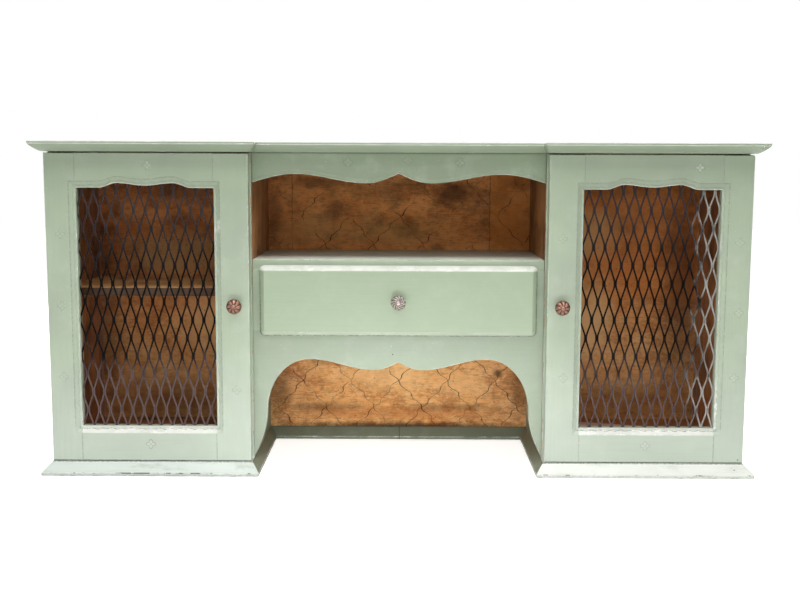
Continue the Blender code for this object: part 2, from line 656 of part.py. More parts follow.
def knob_mesh():
    """A cast knob about Z: a foot, a waisted neck and a domed head with a petalled rim."""
    start, length = KNOB_HEAD_START, KNOB_LENGTH
    rim = start + (length - start) * KNOB_RIM_SHARE
    rings = [
        (KNOB_FOOT_RADIUS, 0, 0),
        (KNOB_FOOT_RADIUS, KNOB_FOOT_LENGTH / 2, 0),
        (KNOB_NECK_RADIUS, KNOB_FOOT_LENGTH, 0),
        (KNOB_NECK_RADIUS, start, 0),
        (KNOB_RADIUS, rim, 1),
    ]
    for k in range(1, DOME_STEPS):
        turn = math.pi / 2 * k / DOME_STEPS
        height = rim + (length - rim) * math.sin(turn)
        rings.append((KNOB_RADIUS * math.cos(turn), height, math.cos(turn)))
    rings.append((KNOB_CROWN_RADIUS, length, 0))
    turns = [2 * math.pi * k / ROUND_STEPS for k in range(ROUND_STEPS)]
    loops = []
    for radius, height, petal in rings:
        loop = []
        for turn in turns:
            swell = 1 - petal * KNOB_PETAL_DEPTH * (1 - math.cos(KNOB_PETALS * turn)) / 2
            loop.append((radius * swell * math.cos(turn), radius * swell * math.sin(turn), height))
        loops.append(loop)
    made = loft("knob", loops)
    made.shade_smooth()
    return made


def build_door(side, sign, looks, door):
    paint = looks["paint"]
    y = (0, DOOR_THICK)
    z = (DOOR_FOOT, DOOR_TOP)
    half_seat = sign * SEAT / 2
    inner, outer = sign * SIGHT_INNER, sign * SIGHT_OUTER
    hinge_x = (sign * HALF_CASE, outer + half_seat)
    hinge_stile = board(f"{side}_door_hinge_stile", hinge_x, y, z, paint, door)
    lock_stile = board(f"{side}_door_lock_stile", (sign * DOOR_INNER, inner - half_seat), y, z, paint, door)
    span = (inner + half_seat, outer - half_seat)
    top_rail = board(f"{side}_door_top_rail", span, y, (SIGHT_TOP - CUT, DOOR_TOP), paint, door)
    bottom_rail = board(f"{side}_door_bottom_rail", span, y, (DOOR_FOOT, SIGHT_FOOT + CUT), paint, door)
    cutter = opening_cutter(f"{side}_door_opening", sign * SIGHT_MIDDLE, door)
    for piece in (hinge_stile, lock_stile, top_rail, bottom_rail):
        cut(piece, cutter)
    for end, height in hinge_heights().items():
        cut(hinge_stile, hinge_recess(f"{side}_door_recess_{end}", sign, DOOR_THICK, height, door))
    build_mesh(side, sign, looks["steel"], door)
    build_bead(side, sign, looks["bare"], door)


def build_knobs(looks, doors, drawer):
    facing = (math.pi / 2, 0, 0)
    middle = (DOOR_INNER + SIGHT_INNER - SIGHT_WIDTH) / 2
    knob = knob_mesh()
    knob.materials.append(looks["copper"])
    for side, sign in (("left", -1), ("right", 1)):
        at = (sign * middle, -SEAT, DOOR_KNOB_HEIGHT)
        place(f"{side}_door_knob", knob, looks["copper"], doors[side], at, facing)
    pale = knob.copy()
    pale.materials[0] = looks["pewter"]
    at = (0, DRAWER_FACE - SEAT, DRAWER_FRONT_FOOT + DRAWER_KNOB_RISE)
    place("drawer_knob", pale, looks["pewter"], drawer, at, facing)


def rounded_rectangle(half, foot, top, radius):
    points = []
    corners = ((half, top, 0), (-half, top, 90), (-half, foot, 180), (half, foot, 270))
    for px, pz, first in corners:
        centre_x = px - math.copysign(radius, px)
        centre_z = pz - radius if pz == top else pz + radius
        for k in range(CURVE_STEPS + 1):
            turn = math.radians(first + 90 * k / CURVE_STEPS)
            points.append((centre_x + radius * math.cos(turn), centre_z + radius * math.sin(turn)))
    return points


def build_drawer(looks, drawer):
    paint, bare = looks["paint"], looks["bare"]
    loops = []
    edge = [(DRAWER_EDGE_WIDTH, 0)]
    edge += list(quarter((DRAWER_EDGE_WIDTH, 0), (0, DRAWER_EDGE_DEPTH), True))[1::2]
    edge.append((0, DRAWER_FRONT_THICK))
    for inset, depth in edge:
        radius = max(DRAWER_CORNER - inset, SEAT)
        foot, top = DRAWER_FRONT_FOOT + inset, DRAWER_FRONT_TOP - inset
        outline = rounded_rectangle(DRAWER_HALF - inset, foot, top, radius)
        loops.append([(px, depth, pz) for px, pz in outline])
    place("drawer_front", loft("drawer_front", loops), paint, drawer, (0, DRAWER_FACE, 0))
    run = (FACE_SETBACK, BOX_BACK)
    inner = BOX_HALF - DRAWER_BOARD
    groove = inner + DRAWER_GROOVE
    groove_foot = BOX_BOTTOM_FOOT - GROOVE_GAP
    groove_top = BOX_BOTTOM_FOOT + DRAWER_BOTTOM_THICK + GROOVE_GAP
    section = [
        (BOX_HALF, BOX_FOOT),
        (BOX_HALF, BOX_TOP),
        (inner, BOX_TOP),
        (inner, groove_top),
        (groove, groove_top),
        (groove, groove_foot),
        (inner, groove_foot),
        (inner, BOX_FOOT),
    ]
    for side, sign in (("left", -1), ("right", 1)):
        panel(f"drawer_{side}_side", [(sign * px, pz) for px, pz in section], run, bare, drawer)
    across = (-inner + SEAT, inner - SEAT)
    back_z = (groove_top, BOX_TOP)
    board("drawer_back", across, (BOX_BACK - DRAWER_BOARD, BOX_BACK), back_z, bare, drawer)
    bottom_z = (BOX_BOTTOM_FOOT, BOX_BOTTOM_FOOT + DRAWER_BOTTOM_THICK)
    bottom_x = (-groove + GROOVE_GAP, groove - GROOVE_GAP)
    board("drawer_bottom", bottom_x, run, bottom_z, bare, drawer)


def main():
    clear_scene()
    looks = {
        "paint": surface("sage green paint", (176, 188, 167), 0.45),
        "stain": surface("stained softwood", (150, 102, 60), 0.6),
        "bare": surface("bare softwood", (196, 160, 112), 0.7),
        "steel": surface("black painted steel", (46, 42, 42), 0.5, 0.3),
        "copper": surface("aged copper", (144, 115, 99), 0.4, 0.9),
        "pewter": surface("aged pewter", (158, 153, 141), 0.4, 0.9),
        "iron": surface("dark iron", (84, 78, 72), 0.5, 0.9),
    }
    cabinet = empty("cabinet", (0, -MIDDLE_Y, 0))
    doors = {
        "left": empty("left_door", (-HINGE_X, HINGE_Y, DOOR_FOOT), cabinet),
        "right": empty("right_door", (HINGE_X, HINGE_Y, DOOR_FOOT), cabinet),
    }
    drawer = empty("drawer", (0, FACE_SETBACK, BOX_FOOT), cabinet)
    build_case(looks, cabinet)
    build_centre(looks, cabinet)
    build_left_shelf(looks, cabinet)
    paint = looks["paint"]
    over = (SIDE_HEIGHT, FACE_SETBACK, FACE_SETBACK - SEAT)
    moulding_ring("cornice", cornice_profile(), CORNICE_RETURN_OUT, *over, paint, cabinet)
    under = (0, BACK_FACE, CASE_FRONT - SEAT)
    moulding_ring("base", base_profile(), BASE_RETURN_OUT, *under, paint, cabinet)
    build_hinges(looks, cabinet, doors)
    for side, sign in (("left", -1), ("right", 1)):
        build_door(side, sign, looks, doors[side])
    build_knobs(looks, doors, drawer)
    build_drawer(looks, drawer)


main()
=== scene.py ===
"""The looks of the painted wall cabinet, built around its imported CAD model.

Boards, mouldings, door frames, grilles and knobs are worked out as number grids and take the place of the
plain CAD solids. Every length is in metres, in the CAD model's own frame: X to the right, Y to the back and
Z up."""

import math

import bpy
import numpy as np
from mathutils import Matrix, Vector


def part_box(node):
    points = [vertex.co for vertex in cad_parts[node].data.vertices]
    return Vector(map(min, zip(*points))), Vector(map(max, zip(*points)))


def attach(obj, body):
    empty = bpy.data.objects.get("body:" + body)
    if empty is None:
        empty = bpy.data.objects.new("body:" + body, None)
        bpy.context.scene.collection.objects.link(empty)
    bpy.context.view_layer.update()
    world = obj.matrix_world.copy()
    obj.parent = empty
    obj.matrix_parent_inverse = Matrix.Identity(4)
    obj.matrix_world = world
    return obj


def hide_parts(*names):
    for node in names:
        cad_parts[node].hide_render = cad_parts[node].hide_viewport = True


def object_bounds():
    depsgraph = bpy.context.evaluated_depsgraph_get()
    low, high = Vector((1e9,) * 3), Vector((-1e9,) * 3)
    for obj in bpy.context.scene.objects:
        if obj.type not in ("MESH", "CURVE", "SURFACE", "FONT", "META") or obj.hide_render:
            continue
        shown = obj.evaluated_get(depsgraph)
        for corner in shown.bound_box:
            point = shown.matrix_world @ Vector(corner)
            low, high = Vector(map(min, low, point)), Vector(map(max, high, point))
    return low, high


bl_info = {
    "name": "Painted wall cabinet",
    "version": (1, 0, 0),
    "blender": (4, 5, 0),
    "location": "View3D > Sidebar > Cabinet",
    "description": "Dresses the wall cabinet in worn paint, stained wood, expanded metal and cast knobs",
    "category": "Object",
}

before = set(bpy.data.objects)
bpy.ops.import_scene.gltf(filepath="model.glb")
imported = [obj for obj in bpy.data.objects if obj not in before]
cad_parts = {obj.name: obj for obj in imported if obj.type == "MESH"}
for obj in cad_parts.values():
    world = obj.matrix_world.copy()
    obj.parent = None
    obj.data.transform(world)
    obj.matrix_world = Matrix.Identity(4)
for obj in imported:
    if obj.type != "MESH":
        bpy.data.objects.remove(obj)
CAD_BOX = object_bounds()


def low(node, axis):
    """The lowest coordinate of a CAD node along an axis, 0 to 2."""
    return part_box(node)[0][axis]


def high(node, axis):
    """The highest coordinate of a CAD node along an axis, 0 to 2."""
    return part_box(node)[1][axis]


X, Y, Z = 0, 1, 2
SIDES = (("left", -1), ("right", 1))
DOOR_FRONT = low("left_door_hinge_stile", Y)
DOOR_BACK = high("left_door_hinge_stile", Y)
HALF_CASE = high("outer_side_right", X)
HALF_CENTRE = low("inner_side_right", X)
CASE_BACK = high("back_panel", Y)
BACK_FACE = low("back_panel", Y)
FACE_FRONT = low("valance", Y)
FACE_BACK = high("valance", Y)
SIDE_TOP = low("top_board", Z)
OPENING_FOOT = high("apron", Z)
SEAT = 0.0003  # a hair's breadth: nails and rosettes sink in by it, mouldings keep clear by it at mitres
SKIN = 0.00004  # least height of a rosette above the paint
TINY = 1e-5  # less than any real length
JOINT_FILL = 0.0001  # paint that has run into the frame joints
WORN_EDGE = 0.0012  # radius of the opening's rubbed edge
RUBBED_Z = 0.4376  # height of the rubbed spot on the left door's lock stile


# Sizes and colours a user would change

def linear(code):
    """An sRGB hex code as linear red, green and blue."""
    share = np.array([int(code[k:k + 2], 16) for k in (1, 3, 5)]) / 255
    return tuple(np.where(share <= 0.04045, share / 12.92, ((share + 0.055) / 1.055) ** 2.4).tolist())


def length(name, description, default):
    """A length property in metres."""
    digits = 5
    return bpy.props.FloatProperty(name=name, description=description, default=default, min=0,
                                   precision=digits, unit="LENGTH", subtype="DISTANCE")


def colour(name, description, code):
    """A colour property with an sRGB hex default."""
    return bpy.props.FloatVectorProperty(name=name, description=description, default=linear(code), min=0,
                                         max=1, subtype="COLOR")


def how_many(name, description, default):
    """A whole number property for what repeats round a knob."""
    return bpy.props.IntProperty(name=name, description=description, default=default, min=3)


class CabinetSizes(bpy.types.PropertyGroup):
    """Sizes of the worked details."""
    arris: length("Arris", "Radius to which handling has rounded the boards' edges", 0.0013)
    seam: length("Seam", "Radius of the rounded edges at the frame joints", 0.0002)
    sight_width: length("Sight moulding width", "Width of the moulding round a door's opening", 0.011)
    sight_lip: length("Sight lip", "Width of the flat lip at the inner edge of that moulding", 0.0043)
    sight_depth: length("Sight moulding depth", "Depth of the slope from the door's face to the lip", 0.0052)
    sight_wave: length("Sight wave", "Swing of the hand-cut line between the slope and the lip", 0.0009)
    rebate: length("Rebate", "Width of the step behind the opening that holds the grille", 0.008)
    lip: length("Lip", "Thickness of the door frame in front of the grille", 0.012)
    hump_rise: length("Hump rise", "Rise of the two humps in the top rail's lower edge", 0.0082)
    dip_rise: length("Dip rise", "Rise of the dip between the humps", 0.0038)
    worn_corner: length("Worn corner", "Radius of the right door's knocked upper corner", 0.004)
    pitch_x: length("Grille pitch across", "Width of one diamond of the expanded metal", 0.0197)
    pitch_z: length("Grille pitch up", "Height of one diamond of the expanded metal", 0.0638)
    strand_width: length("Strand width", "Width of one strand of the expanded metal", 0.0028)
    strand_thick: length("Strand thickness", "Thickness of the sheet the grille was slit from", 0.0014)
    bond: length("Bond", "Height of the joint between two strands", 0.008)
    bevel_width: length("Bevel width", "Width of the bevelled edge of the drawer front", 0.0088)
    bevel_depth: length("Bevel depth", "Depth of the bevelled edge of the drawer front", 0.0085)
    drawer_corner: length("Drawer corner", "Radius of the drawer front's corners", 0.010)
    motif: length("Motif", "Width of the faint four-petal rosettes under the paint", 0.0185)
    motif_relief: length("Motif relief", "Height of those rosettes", 0.0004)
    door_petals: how_many("Door knob petals", "Petals round a door knob's rosette", 8)
    drawer_petals: how_many("Drawer knob flutes", "Flutes round the drawer knob", 12)


class CabinetColours(bpy.types.PropertyGroup):
    """Colours of the finishes."""
    sage: colour("Sage", "The paint's main colour", "#B0BEA6")
    # Painted shade: the deep sage stands in for the shade that the cornice casts on the valance, and is laid
    # over the upper parts of the painted boards.
    sage_deep: colour("Deep sage", "The darker paint of the valance", "#85947A")
    sage_mid: colour("Middle sage", "The drawer front's paint", "#A3B398")
    sage_apron: colour("Apron sage", "The apron's paint", "#9EAB95")
    sage_grey: colour("Greyed sage", "Cloudy patches in the paint", "#A3AF9C")
    sage_pale: colour("Pale sage", "Rubbed, chalky patches in the paint", "#C9D2C3")
    # Painted reflection: the foot sage stands in for the white floor's sheen on the lower boards.
    sage_painted_sheen: colour("Foot of the sage", "The greyer, paler paint low down", "#CCD5CC")
    sage_shade: colour("Brush shade", "Dirt lying in the brush marks", "#87907A")
    sage_old: colour("Old sage", "The older, darker coat on the inner runs of the base", "#72806A")
    # Painted light: the base is given this paler sage, standing in for the light its upward slope catches.
    sage_faded: colour("Faded sage", "The paler paint of the base moulding", "#CED5CF")
    shelf_grey: colour("Shelf grey", "The rubbed grey-green top of the centre shelf", "#E0E2D5")
    # Primer white is laid for real chips and also as a painted highlight: on the rubbed drawer bevel and
    # bottom rail slopes, at the right door's grille edge and over the right front of the base.
    primer: colour("Primer", "The white ground where the paint is chipped", "#ECECE5")
    # Grime is laid for real dirt and also as painted shade: at the back of the centre shelf, along the drawer
    # front's rim and on the base's nose.
    grime_and_shade: colour("Grime", "Dirt in the grooves and bare wood at knocked edges", "#55574C")
    gold: colour("Golden stain", "Stain of the back boards, main colour", "#EEB270")
    gold_pale: colour("Pale golden stain", "Pale flecks and early wood of the back boards", "#FACC8E")
    gold_dark: colour("Deep golden stain", "Amber blotches of the back boards", "#BC7238")
    amber: colour("Amber stain", "The warmer board at the right of the back", "#E68C40")
    red_brown: colour("Red-brown stain", "The upper part of the back boards", "#FF9850")
    umber: colour("Umber", "Saw ripples and dark stains of the back boards", "#4A2917")
    stain: colour("Brown stain", "Stain of the inner faces, shelf and floors, main colour", "#B0784A")
    stain_pale: colour("Pale brown stain", "Early wood of the brown boards", "#CB976A")
    stain_dark: colour("Dark brown stain", "Late wood, worm holes and trellis lines", "#2E190D")
    # Painted light: these pale pink floor tones stand in for light falling on the right cupboard's floor;
    # beyond a slanting line the floor turns brown as painted shadow.
    scrubbed: colour("Scrubbed floor", "The right cupboard's scrubbed floor, main colour", "#FBD3BD")
    painted_light_pale: colour("Pale scrubbed floor", "Early wood of that floor", "#FFE6D8")
    bare: colour("Bare wood", "Unfinished softwood of the drawer", "#B98F60")
    bare_dark: colour("Bare wood grain", "Late wood of the unfinished boards", "#7E5A38")
    steel: colour("Black steel", "Black paint on the expanded metal", "#0C0706")
    # Painted reflection: this mauve-grey stands in for the bright floor and lamps mirrored in the strands, on
    # the lower third and more faintly high up.
    steel_painted_sheen: colour("Dusty steel", "Mauve-grey dust on the lower third of the expanded metal", "#6E5E5D")
    steel_rubbed: colour("Rubbed steel", "Steel where the black paint is rubbed", "#3A3130")
    copper: colour("Copper", "Cast copper of the door knobs", "#957062")
    copper_dark: colour("Copper patina", "Brown patina in the hollows", "#46322A")
    pewter: colour("Pewter", "Cast pewter of the drawer knob", "#BBB0A9")
    pewter_dark: colour("Pewter patina", "Dark patina in the hollows", "#221D1B")
    iron: colour("Iron", "Hinges and nails", "#5C554E")
    floor: colour("Floor", "Studio floor", "#F2F2F0")


def sizes():
    """The scene's sizes."""
    return bpy.context.scene.cabinet_sizes


def colours():
    """The scene's colours."""
    return bpy.context.scene.cabinet_colours


# Finishes

PER_MM = 1000.0
MIX_A, MIX_B, MIX_COLOUR = 6, 7, 2  # the Mix node's two colour inputs and its colour output
MIX_FROM, MIX_TO = 2, 3  # its two number inputs
NICHES = (0.25, 0.30)  # the height where the lower niche ends and the upper one begins
BACK_JOINTS = ((-0.2101, 0.0), (0.1779, 0.5))  # x of the joints between the back boards, warmth right of each
# Painted shade: the umber ovals at the tops, the ends and the foot of the cupboards and the niches, the umber
# line over the base strip and the deep gold oval at the foot of the lower niche. Painted light: the pale gold
# ovals in the cupboards and in the middle of the lower niche, and the gold ovals low in the upper niche. The
# umber ovals at x 0.107, 0.1986 and -0.155 are real stains, and the amber oval is the warmer board's tone.
BACK_STAINS_AND_PAINTED_LIGHT = (  # x, z, half width, half height, strength and colour of the marks on the back boards
    (0.107, 0.486, 0.056, 0.036, 0.8, "umber"), (0.1986, 0.1325, 0.016, 0.013, 0.8, "umber"),
    (-0.245, 0.45, 0.022, 0.07, 0.5, "umber"), (-0.16, 0.51, 0.06, 0.018, 0.6, "umber"),
    (-0.02, 0.49, 0.06, 0.03, 0.35, "umber"), (0.235, 0.51, 0.03, 0.02, 0.4, "umber"),
    (-0.15, 0.062, 0.12, 0.014, 0.5, "umber"), (0.10, 0.062, 0.14, 0.012, 0.5, "umber"),
    (-0.24, 0.10, 0.035, 0.09, 0.6, "umber"), (0.245, 0.10, 0.03, 0.07, 0.55, "umber"),
    (-0.155, 0.155, 0.03, 0.012, 0.3, "umber"), (0.56, 0.30, 0.06, 0.30, 0.65, "umber"),
    (0.40, 0.50, 0.14, 0.03, 0.4, "umber"), (-0.58, 0.25, 0.04, 0.3, 0.5, "umber"),
    (-0.43, 0.50, 0.16, 0.05, 0.6, "umber"), (-0.43, 0.365, 0.16, 0.06, 1.0, "gold_pale"),
    (-0.36, 0.24, 0.09, 0.09, 0.9, "gold_pale"), (0.37, 0.24, 0.08, 0.11, 0.9, "gold_pale"),
    (0.36, 0.41, 0.10, 0.07, 0.6, "gold_pale"), (-0.17, 0.415, 0.10, 0.045, 0.5, "gold"),
    (-0.02, 0.41, 0.11, 0.035, 0.45, "gold"), (0.21, 0.425, 0.05, 0.05, 0.4, "amber"),
    (0.0, 0.05, 0.30, 0.02, 0.5, "gold_dark"), (0.0, 0.023, 0.34, 0.014, 0.9, "umber"),
    (-0.45, 0.07, 0.18, 0.085, 0.5, "umber"), (0.44, 0.08, 0.18, 0.06, 0.35, "umber"),
    (-0.02, 0.125, 0.12, 0.04, 0.6, "gold_pale"), (0.12, 0.105, 0.07, 0.03, 0.5, "gold_pale"),
)


def add(tree, kind, inputs=None, out=0, **settings):
    """Adds one node. Settings are its own properties, inputs are values or other nodes' sockets by name or
    number. Returns the wanted output socket."""
    made = tree.nodes.new("ShaderNode" + kind)
    for key, value in settings.items():
        setattr(made, key, value)
    for key, value in (inputs or {}).items():
        socket = made.inputs[key]
        if isinstance(value, bpy.types.NodeSocket):
            tree.links.new(value, socket)
        else:
            socket.default_value = (*value, 1.0) if socket.type == "RGBA" else value
    return made.outputs[out] if made.outputs else None


def start_material(name):
    """A new node material. Returns it, its tree and the Object coordinates."""
    made = bpy.data.materials.new(name)
    made.use_nodes = True
    made.node_tree.nodes.clear()
    return made, made.node_tree, add(made.node_tree, "TexCoord", out="Object")


def end_material(tree, shade, rough, height=None, depth_mm=0.2, fixed=None):
    """Joins the colour, the roughness and the height of the surface to its shader, whose fixed values are
    numbers."""
    inputs = {"Base Color": shade, "Roughness": rough, **(fixed or {})}
    if height is not None:
        inputs["Normal"] = add(tree, "Bump", {"Height": height, "Distance": depth_mm / PER_MM})
    add(tree, "OutputMaterial", {"Surface": add(tree, "BsdfPrincipled", inputs)})


def maths(tree, how, *values):
    """One sum on values or other nodes' sockets, by the name that the Math node gives it."""
    return add(tree, "Math", dict(enumerate(values)), operation=how)


def ramp(tree, value, start, end, foot=0.0, top=1.0, smooth=False):
    """A value taken from start to end and given as foot to top, held level beyond them, with a straight or a
    smooth rise."""
    limits = {"From Min": start, "From Max": end, "To Min": foot, "To Max": top}
    rise = "SMOOTHSTEP" if smooth else "LINEAR"
    return add(tree, "MapRange", {"Value": value, **limits}, interpolation_type=rise)


def along(axis, times):
    """A stretch along one axis."""
    return [times if k == axis else 1.0 for k in range(3)]


def patches(tree, place, size_mm, start, end, top=1.0, detail=3.0, rough=0.55, stretch=(1, 1, 1), foot=0.0):
    """A mask of cloudy patches about size_mm across: noise drawn out by stretch, cut softly from start to
    end and given as foot to top."""
    drawn = add(tree, "Mapping", {"Vector": place, "Scale": [1 / s for s in stretch]})
    cloud = {"Vector": drawn, "Scale": PER_MM / size_mm, "Detail": detail, "Roughness": rough}
    return ramp(tree, add(tree, "TexNoise", cloud), start, end, foot, top, smooth=True)


def uneven_shine(tree, place, size_mm, dull, bright, detail=3.0):
    """Roughness that drifts between bright and dull in patches about size_mm across."""
    return patches(tree, place, size_mm, start=0.3, end=0.7, top=dull, detail=detail, foot=bright)


def several(tree, place, axis, *rows):
    """Several masks of patches. A row gives the size in mm, start, end, top, detail, roughness and stretch
    along the axis of one."""
    return [patches(tree, place, *row[:-1], along(axis, row[-1])) for row in rows]


def layered(tree, shade, *layers):
    """Colours laid one over another, each as its mask from 0 to 1 and its colour."""
    for mask, over in layers:
        shade = add(tree, "Mix", {0: mask, MIX_A: shade, MIX_B: over}, MIX_COLOUR, data_type="RGBA")
    return shade


def from_middle(tree, place):
    """How far a point lies from the cabinet's middle plane."""
    return maths(tree, "ABSOLUTE", add(tree, "SeparateXYZ", {0: place}, X))


def worm_holes(tree, place):
    """Dark worm specks about 1 mm wide, one in each cell of a 13 mm scatter."""
    cell_mm = 13.0
    away = add(tree, "TexVoronoi", {"Vector": place, "Scale": PER_MM / cell_mm}, "Distance")
    return ramp(tree, away, start=0.05, end=0.1, foot=0.85, top=0.0)


def stained_grain(tree, place, axis, main, pale, dark, cloudy=0.8):
    """Softwood grain under stain: pale and dark bands drawn out along the board, fine saw ripples, broad
    darker clouds and worm specks. Returns its colour and its height."""
    bands, ripples, clouds = several(
        tree, place, axis, (9.0, 0.38, 0.66, 1.0, 6.0, 0.66, 9), (2.4, 0.46, 0.7, 0.5, 4.0, 0.6, 14),
        (75.0, 0.44, 0.68, cloudy, 5.0, 0.6, 1.5))
    holes = worm_holes(tree, place)
    shade = layered(tree, main, (bands, pale), (clouds, dark), (ripples, dark), (holes, colours().stain_dark))
    height = maths(tree, "ADD", bands, ripples)
    return shade, maths(tree, "SUBTRACT", height, holes)


def trellis_lines(tree, place):
    """Two families of slanting lines, 96 mm apart across and 109 mm up, each wavering by 3 mm every 25 mm.
    The mask is 1 close to a line and fades where the drawing is rubbed, most of all in the upper niche.
    Only the open middle has it."""
    across_mm, up_mm, foot_mm, wave_mm, sway_mm, half_mm = 96.0, 109.0, 62.0, 25.0, 3.0, 1.15
    core, rim, drift_share, half_open, open_fade = 0.35, 1.2, 0.08, 0.25, 0.02
    x, _, z = add(tree, "SeparateXYZ", {0: place}).node.outputs
    above = ramp(tree, z, *NICHES)
    broken = patches(tree, place, size_mm=80.0, start=0.44, end=0.54, detail=2.0, foot=0.3)
    broken = add(tree, "Mix", {0: above, MIX_FROM: 1.0, MIX_TO: broken})
    turn = maths(tree, "MULTIPLY", z, 2 * math.pi * PER_MM / wave_mm)
    turn = maths(tree, "SINE", turn)
    drift = patches(tree, place, size_mm=60.0, start=0.0, end=1.0, top=drift_share, detail=4.0, rough=0.6,
                    foot=-drift_share)
    x = maths(tree, "MULTIPLY_ADD", x, PER_MM / across_mm, drift)
    x = maths(tree, "MULTIPLY_ADD", turn, sway_mm / across_mm, x)
    z = maths(tree, "MULTIPLY_ADD", z, PER_MM / up_mm, 0.5 - foot_mm / up_mm)
    masks = []
    for way in ("ADD", "SUBTRACT"):
        step = maths(tree, way, x, z)
        step = maths(tree, "PINGPONG", step, 0.5)
        line = ramp(tree, step, core * half_mm / across_mm, rim * half_mm / across_mm, foot=1.0, top=0.0,
                    smooth=True)
        masks.append(line)
    drawn = maths(tree, "MAXIMUM", masks[0], masks[1])
    rubbed = patches(tree, place, size_mm=38.0, start=0.42, end=0.62, top=0.4, detail=2.0, foot=0.95)
    centre = ramp(tree, from_middle(tree, place), half_open, half_open + open_fade, foot=1.0, top=0.0)
    for mask in (centre, broken, rubbed):
        drawn = maths(tree, "MULTIPLY", drawn, mask)
    return drawn


def board_joints(tree, shade, height, ragged, x, above):
    """The upright joints between the back boards: a dark ragged line at each, and a warmer board to its
    right, in the upper niche alone. Returns the new colour and height."""
    c = colours()
    swing, fade = 0.006, 0.003
    for joint, warm in BACK_JOINTS:
        off = maths(tree, "MULTIPLY_ADD", ragged, swing, -swing / 2 - joint)
        off = maths(tree, "ADD", x, off)
        right_of = ramp(tree, off, start=0.0, end=fade, top=warm)
        near = maths(tree, "ABSOLUTE", off)
        line = ramp(tree, near, start=0.0003, end=0.0012, foot=0.6, top=0.0)
        line = maths(tree, "MULTIPLY", line, above)
        right_of = maths(tree, "MULTIPLY", right_of, above)
        shade = layered(tree, shade, (right_of, c.amber), (line, c.umber))
        height = maths(tree, "SUBTRACT", height, line)
    return shade, height


def board_stains_and_painted_light(tree, shade, ragged, place):
    """The stains of the back boards, and their ovals of painted shade and painted light: ovals whose edge is
    made ragged by noise. Returns the new colour."""
    ragged_share = 0.9
    for spot_x, spot_z, wide, tall, share, mark in BACK_STAINS_AND_PAINTED_LIGHT:
        offset = {"Location": (-spot_x / wide, 0, -spot_z / tall), "Scale": (1 / wide, 0, 1 / tall)}
        offset = add(tree, "Mapping", {"Vector": place, **offset})
        away = add(tree, "VectorMath", {0: offset}, "Value", operation="LENGTH")
        away = maths(tree, "MULTIPLY_ADD", ragged, ragged_share, away)
        spot = ramp(tree, away, start=0.6, end=1.5, foot=share, top=0.0, smooth=True)
        shade = layered(tree, shade, (spot, getattr(colours(), mark)))
    return shade


def golden_boards(name):
    """Wide softwood boards stained gold and left unvarnished, darker above where painted shade is laid on
    them. To the eye: leathery gold with saw ripples, amber blotches and pale flecks, a redder top, dark
    stains and ovals of painted shade and painted light, a warmer board at the right, worm specks and a thin
    wavy diamond trellis; raw wood on the wall side."""
    c = colours()
    made, tree, place = start_material(name)
    x, y, z = add(tree, "SeparateXYZ", {0: place}).node.outputs
    faded, blotches, flecks, painted_shade_above, mottle, glints, ripples, ragged = several(
        tree, place, X,
        (30.0, 0.42, 0.66, 0.8, 5.0, 0.65, 1.6), (46.0, 0.48, 0.64, 0.7, 6.0, 0.72, 1.3),
        (5.0, 0.52, 0.66, 0.85, 5.0, 0.7, 1.8), (38.0, 0.44, 0.72, 1.1, 4.0, 0.6, 1.4),
        (9.0, 0.50, 0.64, 0.6, 6.0, 0.75, 1.5), (4.0, 0.54, 0.66, 0.45, 5.0, 0.7, 1.8),
        (1.9, 0.46, 0.70, 0.36, 4.0, 0.6, 8), (24.0, 0.0, 1.0, 1.0, 5.0, 0.68, 1))
    high_up = ramp(tree, z, start=0.17, end=0.40, top=0.62, smooth=True)
    above = ramp(tree, z, *NICHES)
    # Painted shade: the umber clouds are laid only high up, where the top rails and the valance shade the
    # boards.
    painted_shade_above = maths(tree, "MULTIPLY", painted_shade_above, high_up)
    holes, lines = worm_holes(tree, place), trellis_lines(tree, place)
    shade = layered(tree, c.gold, (faded, c.gold_pale), (blotches, c.gold_dark), (flecks, c.gold_pale),
                    (high_up, c.red_brown), (painted_shade_above, c.umber), (mottle, c.gold_dark), (glints, c.gold),
                    (ripples, c.umber))
    height = maths(tree, "ADD", ripples, mottle)
    shade, height = board_joints(tree, shade, height, ragged, x, above)
    shade = board_stains_and_painted_light(tree, shade, ragged, place)
    skin = 0.002
    behind = ramp(tree, y, BACK_FACE + skin, CASE_BACK - skin)
    raw, _ = stained_grain(tree, place, X, c.bare, c.stain_pale, c.bare_dark, cloudy=0.3)
    shade = layered(tree, shade, (holes, c.stain_dark), (lines, c.stain_dark), (behind, raw))
    for cut in (holes, lines):
        height = maths(tree, "SUBTRACT", height, cut)
    rough = uneven_shine(tree, place, size_mm=40.0, dull=0.8, bright=0.6)
    end_material(tree, shade, rough, height, depth_mm=0.35, fixed={"Specular IOR Level": 0.3})
    return made


def bare_inside(tree, place, axis, upper, foot):
    """The unpainted part of a painted board: stained wood, darker high up, which is painted shade. Below the
    foot, the side towards the open middle keeps an older coat of paint. Returns its colour and its height."""
    c = colours()
    wood, ridges = stained_grain(tree, place, axis, c.stain, c.stain_pale, c.stain_dark)
    # Painted shade: the upper mask darkens the bare wood high up with dark stain.
    wood = layered(tree, wood, (upper, c.stain_dark))
    if foot:
        start, end, fade = HALF_CENTRE + 0.002, HALF_CENTRE + 0.005, 0.01
        z = add(tree, "SeparateXYZ", {0: place}, Z)
        near = ramp(tree, from_middle(tree, place), start, end, foot=1.0, top=0.0)
        below = ramp(tree, z, foot - fade, foot, foot=1.0, top=0.0)
        wood = layered(tree, wood, (maths(tree, "MULTIPLY", near, below), c.sage_old))
    return wood, ridges


